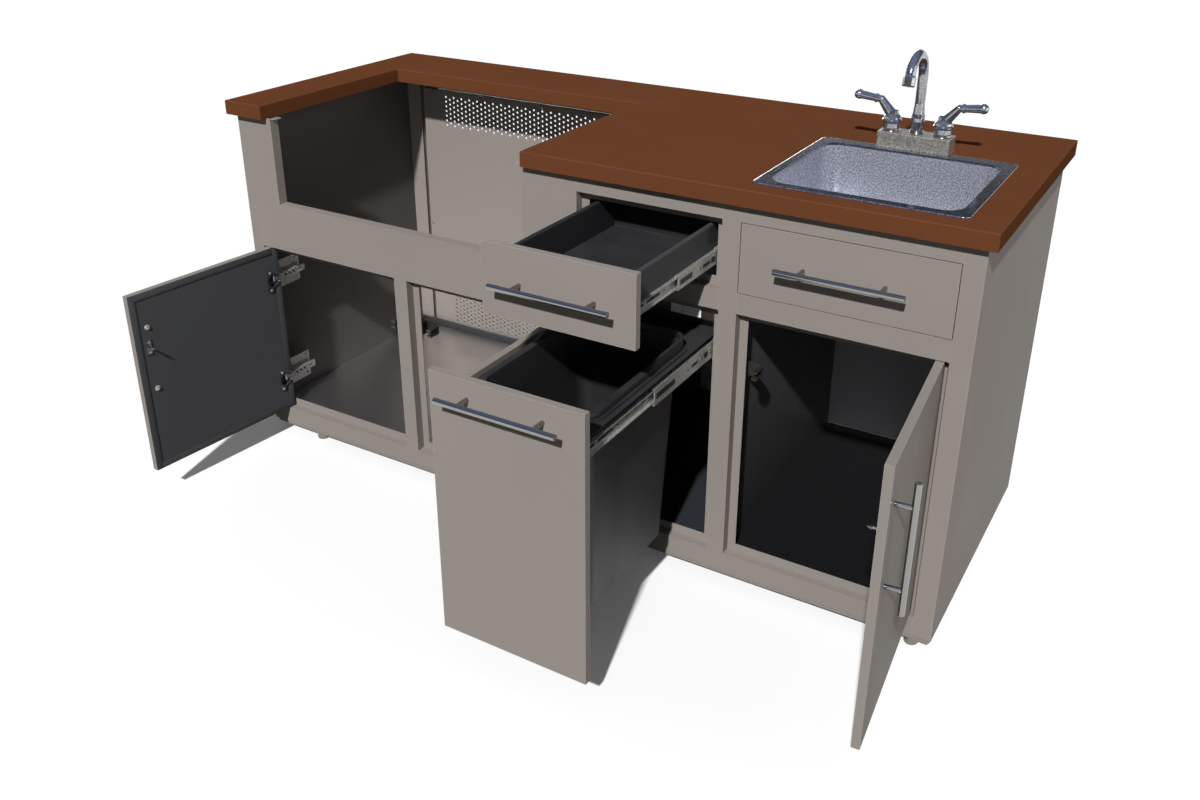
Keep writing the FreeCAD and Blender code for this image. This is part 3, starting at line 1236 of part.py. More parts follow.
def build():
    """Every node of the island, in the cabinet's own frame."""
    nodes = {
        "countertop": countertop(),
        "countertop_core": countertop_core(),
        "grill_surround": grill_surround(),
        "face_stiles": face_stiles(),
        "face_rails": face_rails(),
        "stop_frames": stop_frames(),
        "side_panel_left": side_panel(0.0),
        "side_panel_right": side_panel(CABINET_W),
        "dividers": dividers(),
        "floor_pans": floor_pans(),
        "vent_panel": vent_panel(),
        "back_panels": back_panels(),
        "back_frame": back_frame(),
        "base_frame": base_frame(),
        "slide_brackets": slide_brackets(),
        "panel_screws": panel_screws(),
        "sink": sink(),
        "sink_drain": sink_drain(),
        "sink_clips": sink_clips(),
        "faucet_block": faucet_block(),
        "faucet_shanks": faucet_shanks(),
        "spout": spout(),
    }
    for name, (x, y) in foot_places().items():
        nodes[name] = foot(x, y)
    nodes["lever_cold"] = lever(valve_places()[1])
    nodes["lever_hot"] = nodes["lever_cold"].mirror(Vec(FAUCET_X, 0, 0), Vec(1, 0, 0))
    doors = [
        ("left", OPEN_LEFT, 1, LOW_HEAD, PIN_Z_LEFT, LEFT_REST, CATCH_Z),
        ("mid", OPEN_MID, -1, LOW_HEAD, PIN_Z_LEFT, MID_REST, CATCH_Z),
        ("right", OPEN_SINK, -1, COLUMN_HEAD, PIN_Z_RIGHT, RIGHT_REST, CATCH_Z_RIGHT),
    ]
    arms = []
    catches = []
    for name, opening, side, head, pins, angle, catch_z in doors:
        hardware = [hinge_cup(opening, side, z) for z in pins] + [striker(opening, side, catch_z)]
        pieces = {
            "shell": door_shell(opening, side, OPENING_BOTTOM, head, pins),
            "liner": door_liner(opening, side, OPENING_BOTTOM, head, pins),
            "hardware": group(hardware),
            "handle": door_handle(opening, side, head),
        }
        for piece, shape in pieces.items():
            nodes["door_%s_%s" % (name, piece)] = swing(shape, opening, side, angle)
        arms += [hinge_arm(opening, side, z) for z in pins]
        catches.append(catch(opening, side, catch_z))
    nodes["hinge_arms"] = group(arms)
    nodes["catches"] = group(catches)
    middle = (OPEN_COLUMN[0] + OPEN_COLUMN[1]) / 2
    drawer_z = (DRAWER_BOTTOM + DRAWER_TOP) / 2
    nodes["drawer_front"] = front_panel(OPEN_COLUMN, DRAWER_BOTTOM, DRAWER_TOP, -DRAWER_REST)
    nodes["drawer_handle"] = bar_handle(Vec(middle, 0, drawer_z), Vec(1, 0, 0), -DRAWER_REST)
    nodes["drawer_box"] = drawer_box()
    nodes["waste_front"] = front_panel(OPEN_COLUMN, OPENING_BOTTOM, COLUMN_HEAD, -TRASH_REST)
    waste_bar = Vec(middle, 0, COLUMN_HEAD - DOOR_GAP - FRONT_BAR_DROP)
    nodes["waste_handle"] = bar_handle(waste_bar, Vec(1, 0, 0), -TRASH_REST)
    nodes["waste_carrier"] = waste_carrier()
    nodes["waste_bin"] = waste_bin()
    slides = (("drawer", DRAWER_SLIDE_LEN, DRAWER_SLIDE_H, DRAWER_SLIDE_Z, DRAWER_REST),
              ("waste", TRASH_SLIDE_LEN, TRASH_SLIDE_H, TRASH_SLIDE_Z, TRASH_REST))
    for name, length, heights, z, out in slides:
        nodes[name + "_slide_outer"] = slide_outer(length, heights, z)
        nodes[name + "_slide_mid"] = slide_mid(length, heights, z, out)
        nodes[name + "_slide_inner"] = slide_inner(length, heights, z, out)
    sink_middle = (OPEN_SINK[0] + OPEN_SINK[1]) / 2
    nodes["false_front"] = front_panel(OPEN_SINK, DRAWER_BOTTOM, DRAWER_TOP, 0.0)
    nodes["false_front_clips"] = false_front_clips()
    nodes["false_front_handle"] = bar_handle(Vec(sink_middle, 0, drawer_z), Vec(1, 0, 0), 0.0)
    return nodes


def origin_of(nodes):
    """The middle of the bottom of the whole object's box."""
    whole = Part.makeCompound(list(nodes.values())).optimalBoundingBox(False)
    return Vec((whole.XMin + whole.XMax) / 2, (whole.YMin + whole.YMax) / 2, whole.ZMin)


def main():
    """Build every node and write it out."""
    os.makedirs("parts", exist_ok=True)
    nodes = build()
    origin = origin_of(nodes)
    for name, shape in nodes.items():
        moved = shape.copy()
        moved.translate(origin * -1)
        moved.exportStep("parts/%s.step" % name)
    print("nodes", len(nodes), "origin", tuple(round(v, 3) for v in origin))


if __name__ == "__main__":
    main()
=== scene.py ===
"""Dressing of the outdoor kitchen island: finishes, small fasteners, light and camera."""
import logging
import math
from dataclasses import dataclass
from enum import Enum
from typing import Callable, Mapping, Sequence, Union

import bmesh
import bpy
from mathutils import Euler, Matrix, Vector

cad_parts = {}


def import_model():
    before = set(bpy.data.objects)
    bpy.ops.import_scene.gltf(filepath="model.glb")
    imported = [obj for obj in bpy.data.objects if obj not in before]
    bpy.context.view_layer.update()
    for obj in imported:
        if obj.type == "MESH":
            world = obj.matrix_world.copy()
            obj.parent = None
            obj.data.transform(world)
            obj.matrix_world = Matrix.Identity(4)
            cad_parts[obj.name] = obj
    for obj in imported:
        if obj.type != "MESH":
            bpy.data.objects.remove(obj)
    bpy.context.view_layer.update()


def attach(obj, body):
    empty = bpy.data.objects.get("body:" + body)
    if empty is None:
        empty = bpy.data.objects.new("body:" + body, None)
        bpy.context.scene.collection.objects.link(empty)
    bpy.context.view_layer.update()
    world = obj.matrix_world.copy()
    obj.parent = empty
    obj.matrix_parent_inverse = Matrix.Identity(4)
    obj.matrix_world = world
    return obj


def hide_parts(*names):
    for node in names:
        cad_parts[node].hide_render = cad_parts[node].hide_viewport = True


LOG = logging.getLogger("island")
MM = 0.001

# Where the cabinet's front left corner on the floor stands in the frame, in millimetres
CABINET_ORIGIN = Vector((903.258, 72.0, 0.0))

# The cabinet's directions and axes
TO_RIGHT = Vector((1, 0, 0))
TO_REAR = Vector((0, 1, 0))
ACROSS, UP = 0, 2

Socket = bpy.types.NodeSocket
Value = Union[float, Sequence[float], Socket]
Sockets = Mapping[str, Socket]
RGB = tuple[float, float, float]
Bands = tuple[tuple[float, RGB], ...]
Profile = tuple[tuple[float, float], ...]
Pair = tuple[float, float]


def linear(red: float, green: float, blue: float) -> tuple[float, float, float, float]:
    """A display colour of 0 to 255 as the linear colour that a socket takes."""
    parts = [((c / 255 + 0.055) / 1.055) ** 2.4 if c > 10 else c / 255 / 12.92 for c in (red, green, blue)]
    return (*parts, 1.0)


# Node trees

class Tree:
    """A node tree that is filled in by short calls."""

    def __init__(self, tree: bpy.types.NodeTree) -> None:
        """Take a tree to fill."""
        self.tree = tree

    def link(self, value: Value, socket: Socket) -> None:
        """Link a socket to an input, or set the input to a plain value.

        Args:
            value: A plain value or a socket to link from.
            socket: The input.
        """
        if isinstance(value, Socket):
            self.tree.links.new(value, socket)
        else:
            socket.default_value = value

    def add(self, kind: str, values: Mapping[Union[int, str], Value] | None = None,
            **settings: object) -> bpy.types.Node:
        """Add one node, set its fields and link or set its inputs.

        Args:
            kind: Blender's name of the node type.
            values: Inputs by name or number, each a plain value or a socket to link from.
            **settings: Fields of the node.

        Returns:
            The new node.
        """
        node = self.tree.nodes.new(kind)
        for name, value in settings.items():
            setattr(node, name, value)
        for name, value in (values or {}).items():
            self.link(value, node.inputs[name])
        return node

    def place(self, shared: "Effect", values: Mapping[str, Value]) -> bpy.types.Node:
        """Add a shared effect with its own values."""
        return self.add("ShaderNodeGroup", values, node_tree=shared.group())

    def math(self, operation: str, *values: Value, clamp: bool = False) -> Socket:
        """One arithmetic step, which clamp holds between 0 and 1."""
        node = self.add("ShaderNodeMath", dict(enumerate(values)), operation=operation, use_clamp=clamp)
        return node.outputs[0]

    def swing(self, value: Value, amount: Value) -> Socket:
        """How far a value of 0 to 1 is off its middle, times an amount."""
        return self.math("MULTIPLY", self.math("SUBTRACT", value, 0.5), amount)

    def noise(self, vector: Value, scale: Value, detail: float = 2.0, rough: float = 0.5) -> Socket:
        """Fractal noise between 0 and 1.

        Args:
            vector: The coordinates.
            scale: Cells per metre.
            detail: How many octaves.
            rough: How strong the finer octaves are.

        Returns:
            The noise's value.
        """
        node = self.add("ShaderNodeTexNoise", {"Vector": vector, "Scale": scale, "Detail": detail,
                                               "Roughness": rough})
        return node.outputs["Fac"]

    def spread(self, value: Value, low: Value, high: Value, to_low: Value = 0.0,
               to_high: Value = 1.0) -> Socket:
        """Stretch a value from one range to another, held at the ends.

        Args:
            value: The value.
            low: The lower end of its range.
            high: The upper end of its range.
            to_low: What the lower end becomes.
            to_high: What the upper end becomes.

        Returns:
            The stretched value.
        """
        node = self.add("ShaderNodeMapRange", {"Value": value, "From Min": low, "From Max": high,
                                               "To Min": to_low, "To Max": to_high}, clamp=True)
        return node.outputs["Result"]

    def blend(self, mask: Value, first: Value, second: Value) -> Socket:
        """Mix two colours by a mask."""
        node = self.add("ShaderNodeMix", {0: mask, 6: first, 7: second}, data_type="RGBA")
        return node.outputs[2]

    def shade(self, colour: Value, factor: Value) -> Socket:
        """A colour times a number.

        Args:
            colour: The colour.
            factor: The number.

        Returns:
            The product.
        """
        colour = colour if isinstance(colour, Socket) else colour[:3]
        node = self.add("ShaderNodeVectorMath", {0: colour, "Scale": factor}, operation="SCALE")
        return node.outputs[0]

    def dot(self, first: Value, second: Value) -> Socket:
        """How far two directions agree."""
        node = self.add("ShaderNodeVectorMath", {0: first, 1: second}, operation="DOT_PRODUCT")
        return node.outputs["Value"]

    def part(self, vector: Value, axis: int) -> Socket:
        """One of the three numbers of a vector."""
        return self.add("ShaderNodeSeparateXYZ", {0: vector}).outputs[axis]

    def object_place(self) -> Socket:
        """Coordinates fixed to the piece, in metres."""
        return self.add("ShaderNodeTexCoord").outputs["Object"]

    def normal(self) -> Socket:
        """The direction that the surface faces."""
        return self.add("ShaderNodeNewGeometry").outputs["Normal"]


# Shared effects

FLOAT, COLOUR, VECTOR = "NodeSocketFloat", "NodeSocketColor", "NodeSocketVector"
GREY = (0.5, 0.5, 0.5, 1.0)


@dataclass(frozen=True)
class Effect:
    """A shader node group with named inputs and outputs, built once and shared.

    The inputs are given by their defaults: a number, a vector of three or a colour of four.
    """

    name: str
    inputs: dict[str, Value]
    outputs: dict[str, str]
    fill: Callable[[Tree, Sockets], Sockets]

    def group(self) -> bpy.types.NodeTree:
        """The node group, made on first use.

        Returns:
            The group, the same one on every call.
        """
        known = bpy.data.node_groups.get(self.name)
        if known:
            return known
        made = bpy.data.node_groups.new(self.name, "ShaderNodeTree")
        for label, default in self.inputs.items():
            kind = {3: VECTOR, 4: COLOUR}[len(default)] if isinstance(default, tuple) else FLOAT
            made.interface.new_socket(label, in_out="INPUT", socket_type=kind).default_value = default
        for label, kind in self.outputs.items():
            made.interface.new_socket(label, in_out="OUTPUT", socket_type=kind)
        tree = Tree(made)
        results = self.fill(tree, tree.add("NodeGroupInput").outputs)
        end = tree.add("NodeGroupOutput")
        for label, socket in results.items():
            tree.link(socket, end.inputs[label])
        return made


def fine_grain(tree: Tree, given: Sockets) -> Sockets:
    """Fine grain in a paint or plate, with slow drifts of tone: a colour and a height.

    Args:
        tree: The group's tree.
        given: The group's inputs.

    Returns:
        The group's outputs.
    """
    place = tree.object_place()
    fine = tree.noise(place, given["Grain Scale"], detail=3.0, rough=0.6)
    slow = tree.noise(place, given["Drift Scale"])
    both = tree.math("ADD", tree.swing(fine, given["Grain"]), tree.swing(slow, given["Drift"]))
    return {"Color": tree.shade(given["Color"], tree.math("ADD", both, 1.0)), "Height": fine}


def painted_edge_highlight(tree: Tree, given: Sockets) -> Sockets:
    """A painted highlight: a lighter line along folded edges, where they would catch the light.

    Args:
        tree: The group's tree.
        given: The group's inputs.

    Returns:
        The group's outputs.
    """
    rounded = tree.add("ShaderNodeBevel", {"Radius": given["Radius"]}, samples=4)
    turned_away = tree.math("SUBTRACT", 1.0, tree.dot(rounded.outputs[0], tree.normal()))
    patchy = tree.noise(tree.object_place(), 60.0, detail=3.0)
    mask = tree.math("MULTIPLY", tree.spread(turned_away, 0.02, 0.25),
                     tree.spread(patchy, 0.3, 0.6, 0.6, 1.0))
    mask = tree.math("MULTIPLY", mask, given["Strength"])
    return {"Color": tree.blend(mask, given["Color"], given["Highlight Color"])}


def wipe_marks(tree: Tree, given: Sockets) -> Sockets:
    """Faint wiping marks and finger smudges, as a change of roughness.

    Args:
        tree: The group's tree.
        given: The group's inputs.

    Returns:
        The group's outputs.
    """
    slanted = tree.add("ShaderNodeMapping", {"Vector": tree.object_place(), "Rotation": (0.2, 0.4, 0.3),
                                             "Scale": (1.0, 1.0, 0.35)})
    cloud = tree.noise(slanted.outputs[0], given["Scale"], detail=4.0, rough=0.65)
    return {"Roughness": tree.math("ADD", given["Roughness"], tree.swing(cloud, given["Amount"]),
                                   clamp=True)}


def brush_lines(tree: Tree, given: Sockets) -> Sockets:
    """Long fine scratches of brushed or drawn metal, along one direction.

    Args:
        tree: The group's tree.
        given: The group's inputs.

    Returns:
        The group's outputs.
    """
    stretched = tree.add("ShaderNodeVectorMath", {0: tree.object_place(), 1: given["Stretch"]},
                         operation="MULTIPLY")
    lines = tree.noise(stretched.outputs[0], 1.0, detail=3.0, rough=0.7)
    factor = tree.math("ADD", 1.0, tree.swing(lines, given["Depth"]))
    return {"Color": tree.shade(given["Color"], factor), "Height": lines}


def settled_dust(tree: Tree, given: Sockets) -> Sockets:
    """Settled dust: pale specks and a thin veil on what faces up.

    Args:
        tree: The group's tree.
        given: The group's inputs.

    Returns:
        The group's outputs.
    """
    place = tree.object_place()
    veil = tree.spread(tree.noise(place, 9.0, detail=4.0, rough=0.6), 0.35, 0.75)
    specks = tree.spread(tree.noise(place, 1300.0, detail=1.0), 0.66, 0.74)
    both = tree.math("ADD", tree.math("MULTIPLY", veil, 0.35), tree.math("MULTIPLY", specks, 0.65))
    mask = tree.math("MULTIPLY", both, tree.spread(tree.part(tree.normal(), UP), 0.3, 0.9))
    mask = tree.math("MULTIPLY", mask, given["Amount"], clamp=True)
    return {"Color": tree.blend(mask, given["Color"], given["Dust Color"])}


GRAIN = Effect("fine_grain", {"Color": GREY, "Grain Scale": 900.0, "Grain": 0.1, "Drift Scale": 4.0,
                              "Drift": 0.06}, {"Color": COLOUR, "Height": FLOAT}, fine_grain)
# A painted highlight along the edges
EDGE_HIGHLIGHT = Effect("painted_edge_highlight", {"Color": GREY, "Highlight Color": (0.8, 0.8, 0.8, 1.0), "Radius": 0.0012,
                            "Strength": 0.5}, {"Color": COLOUR}, painted_edge_highlight)
WIPE = Effect("wipe_marks", {"Roughness": 0.4, "Scale": 14.0, "Amount": 0.15}, {"Roughness": FLOAT},
              wipe_marks)
BRUSH = Effect("brush_lines", {"Color": (0.6, 0.6, 0.6, 1.0), "Stretch": (40.0, 2500.0, 2500.0),
                               "Depth": 0.1}, {"Color": COLOUR, "Height": FLOAT}, brush_lines)
DUST = Effect("settled_dust", {"Color": GREY, "Dust Color": (0.42, 0.39, 0.36, 1.0), "Amount": 0.2},
              {"Color": COLOUR}, settled_dust)


# Finishes

SPECK_SCALE = 330.0
# The share of the painted edge highlight left on a pan's second side
BACK_HIGHLIGHT_SHARE = 0.02

# The height over which the painted shade at a coat's foot fades out, as its middle and half its reach
FOOT_SHADE_FADE = (450.0, 350.0)


class Skin(Tree):
    """The node tree of a finish's material, with its shader."""

    def __init__(self, material: bpy.types.Material, back: Vector | None = None) -> None:
        """Take a new material.

        Args:
            material: The material, with its nodes switched on.
            back: The direction that a pan's second colour faces, or None.
        """
        super().__init__(material.node_tree)
        self.shader = self.tree.nodes["Principled BSDF"]
        self.back = back

    def set(self, name: str, value: Value) -> None:
        """Link or set an input of the shader."""
        self.link(value, self.shader.inputs[name])

    def past(self, axis: int, line: float, blur: float = 1.0) -> Socket:
        """A mask that rises from 0 to 1 across a line of the cabinet.

        Args:
            axis: The axis that the line crosses, ACROSS or UP.
            line: Where the mask is a half, in cabinet millimetres.
            blur: Half the width over which it rises.

        Returns:
            The mask.
        """
        line -= CABINET_ORIGIN[axis]
        return self.spread(self.part(self.object_place(), axis), (line - blur) * MM, (line + blur) * MM)

    def banded(self, base: Value, bands: Bands) -> Value:
        """A colour that changes from one band of the cabinet's width to the next.

        Args:
            base: The colour left of the first band.
            bands: The left end of each band and its colour.

        Returns:
            The colour, or the base without bands.
        """
        for x, colour in bands:
            base = self.blend(self.past(ACROSS, x), base, linear(*colour))
        return base

    def speckled(self, base: Value, amount: float) -> Value:
        """A colour with lighter and darker specks of two or three millimetres.

        Args:
            base: The colour between the specks.
            amount: How far the specks leave it, as a share.

        Returns:
            The colour, or the base without specks.
        """
        if not amount:
            return base
        specks = self.noise(self.object_place(), SPECK_SCALE, detail=1.0)
        return self.shade(base, self.spread(specks, 0.35, 0.65, 1.0 - amount, 1.0 + amount))

    def surface(self, colour: Value, roughness: Value, smudge: float, height: Value, strength: float,
                depth: float) -> None:
        """Give the shader its colour, a roughness with wiping marks, and a relief.

        Args:
            colour: The colour.
            roughness: The roughness between the marks.
            smudge: How much the marks change it.
            height: The relief's height.
            strength: The relief's strength.
            depth: The relief's depth in metres.
        """
        wipe = self.place(WIPE, {"Roughness": roughness, "Amount": smudge})
        bump = self.add("ShaderNodeBump", {"Height": height, "Strength": strength, "Distance": depth})
        self.set("Base Color", colour)
        self.set("Roughness", wipe.outputs["Roughness"])
        self.set("Normal", bump.outputs[0])


@dataclass(frozen=True)
class PowderCoat:
    """Satin powder coat on sheet steel, with its orange peel."""

    slot: str
    colour: RGB
    roughness: float = 0.42
    grain: float = 0.10
    grain_scale: float = 1500.0
    drift: float = 0.08
    drift_scale: float = 3.0
    peel: float = 0.25
    peel_scale: float = 700.0
    peel_depth: float = 0.0002
    smudge: float = 0.15
    # The strength and colour of a painted highlight along the edges
    edge: float = 0.35
    highlight_colour: RGB = (196, 190, 184)
    dust: float = 0.12
    gloss: float = 0.01
    # The colour of the faces towards a given side: the real dark inside of a pan, or painted shade on the
    # side panels' inner faces
    back_colour: RGB | None = None
    # Tones by bands across the cabinet; in the inner finishes these are painted light and shade
    bands: Bands = ()
    # The share of the colour left at the foot: painted shade, darker towards the bottom
    foot: float = 1.0
    speck: float = 0.0

    def fill(self, skin: Skin) -> None:
        """Give a material the coat's colour, roughness and peel.

        Args:
            skin: The material's tree.
        """
        skin.set("Specular IOR Level", self.gloss)
        two_sided = skin.back is not None and self.back_colour is not None
        base: Value = linear(*self.colour)
        highlight_level: Value = self.edge
        if not two_sided:
            base = skin.banded(base, self.bands)
        # Painted shade: darker towards the bottom
        if self.foot < 1.0:
            base = skin.shade(base, skin.spread(skin.past(UP, *FOOT_SHADE_FADE), 0.0, 1.0, self.foot, 1.0))
        base = skin.speckled(base, self.speck)
        # The faces towards the given side take the second colour, which on the side panels is painted shade
        if two_sided:
            facing = skin.add("ShaderNodeTexCoord").outputs["Normal"]
            side = skin.spread(skin.dot(facing, skin.back), 0.4, 0.6)
            base = skin.blend(side, base, skin.banded(linear(*self.back_colour), self.bands))
            highlight_level = skin.spread(side, 0.0, 1.0, self.edge, BACK_HIGHLIGHT_SHARE * self.edge)
        coat = skin.place(GRAIN, {"Color": base, "Grain Scale": self.grain_scale, "Grain": self.grain,
                                  "Drift Scale": self.drift_scale, "Drift": self.drift})
        if self.dust:
            coat = skin.place(DUST, {"Color": coat.outputs["Color"], "Amount": self.dust})
        # Painted highlight: a lighter line along the edges
        edge = skin.place(EDGE_HIGHLIGHT, {"Color": coat.outputs["Color"], "Strength": highlight_level,
                                 "Highlight Color": linear(*self.highlight_colour)})
        peel = skin.noise(skin.object_place(), self.peel_scale)
        skin.surface(edge.outputs["Color"], self.roughness, self.smudge, peel, self.peel, self.peel_depth)


@dataclass(frozen=True)
class Metal:
    """Bare or plated metal, bare only left of its first band, with an optional brighter rim."""

    slot: str
    colour: RGB
    roughness: float
    brush: tuple[float, float, float] = (300.0, 300.0, 300.0)
    brush_depth: float = 0.05
    bump: float = 0.05
    bump_depth: float = 0.0001
    smudge: float = 0.08
    mottle: float = 0.05
    mottle_scale: float = 220.0
    drift: float = 0.05
    drift_scale: float = 12.0
    metallic: float = 1.0
    speck: float = 0.0
    bands: Bands = ()
    rim_z: float | None = None
    rim_colour: RGB = (172, 174, 186)
    rim_roughness: float = 0.1

    def fill(self, skin: Skin) -> None:
        """Give a material the metal's tone, roughness and fine lines.

        Args:
            skin: The material's tree.
        """
        skin.set("Metallic", self.metallic)
        base = skin.banded(linear(*self.colour), self.bands)
        rough: Value = self.roughness
        if self.bands:
            coated = skin.past(ACROSS, self.bands[0][0])
            skin.set("Metallic", skin.spread(coated, 0.0, 1.0, self.metallic, 0.0))
        if self.rim_z is not None:
            rim = skin.past(UP, self.rim_z)
            base = skin.blend(rim, base, linear(*self.rim_colour))
            rough = skin.spread(rim, 0.0, 1.0, self.roughness, self.rim_roughness)
            skin.set("Metallic", skin.spread(rim, 0.0, 1.0, self.metallic, 1.0))
        grain = skin.place(GRAIN, {"Color": skin.speckled(base, self.speck), "Grain": self.mottle,
                                   "Grain Scale": self.mottle_scale, "Drift": self.drift,
                                   "Drift Scale": self.drift_scale})
        brush = skin.place(BRUSH, {"Color": grain.outputs["Color"], "Stretch": self.brush,
                                   "Depth": self.brush_depth})
        skin.surface(brush.outputs["Color"], rough, self.smudge, brush.outputs["Height"], self.bump,
                     self.bump_depth)


@dataclass(frozen=True)
class MouldedPlastic:
    """Dark moulded plastic with a fine spark-eroded grain."""

    slot: str
    colour: RGB
    roughness: float = 0.5
    grain: float = 0.35
    grain_scale: float = 900.0
    grain_depth: float = 0.0003
    drift: float = 0.15
    drift_scale: float = 6.0
    dust: float = 0.15
    smudge: float = 0.2

    def fill(self, skin: Skin) -> None:
        """Give a material the plastic's tone, roughness and grain.

        Args:
            skin: The material's tree.
        """
        grain = skin.place(GRAIN, {"Color": linear(*self.colour), "Grain Scale": self.grain_scale,
                                   "Grain": self.grain, "Drift Scale": self.drift_scale,
                                   "Drift": self.drift})
        dust = skin.place(DUST, {"Color": grain.outputs["Color"], "Amount": self.dust})
        skin.surface(dust.outputs["Color"], self.roughness, self.smudge, grain.outputs["Height"],
                     self.grain, self.grain_depth)


@dataclass(frozen=True)
class RawBoard:
    """Pressed board under the metal top."""

    slot: str
    colour: RGB
    roughness: float = 0.85
    chip_scale: float = 260.0
    grain: float = 0.4
    grain_scale: float = 120.0
    relief: float = 0.4
    relief_depth: float = 0.0004

    def fill(self, skin: Skin) -> None:
        """Give a material the board's chips and roughness.

        Args:
            skin: The material's tree.
        """
        chips = skin.add("ShaderNodeTexVoronoi", {"Vector": skin.object_place(), "Scale": self.chip_scale})
        height = chips.outputs["Distance"]
        tone = skin.spread(height, 0.0, 0.9, 1.15, 0.75)
        grain = skin.place(GRAIN, {"Color": linear(*self.colour), "Grain Scale": self.grain_scale,
                                   "Grain": self.grain})
        bump = skin.add("ShaderNodeBump", {"Height": height, "Strength": self.relief,
                                           "Distance": self.relief_depth})
        skin.set("Base Color", skin.shade(grain.outputs["Color"], tone))
        skin.set("Roughness", self.roughness)
        skin.set("Normal", bump.outputs[0])


FRONT_TONE = (140, 133, 127)
INNER_TONE = (74, 75, 78)
# A darker copy of the taupe: painted shade on inner walls
SHADED_WALL_TONE = (90, 87, 84)
# A darker charcoal: painted shade on the drawer box's left part
SHADED_BOX_TONE = (43, 43, 46)

# Where the column, the drawer's right side and the sink cabinet begin across the cabinet; the inner
# finishes change tone there, much of it painted light and shade
COLUMN_LINE = 979.0
BOX_LINE = 1250.0
SINK_LINE = 1333.0


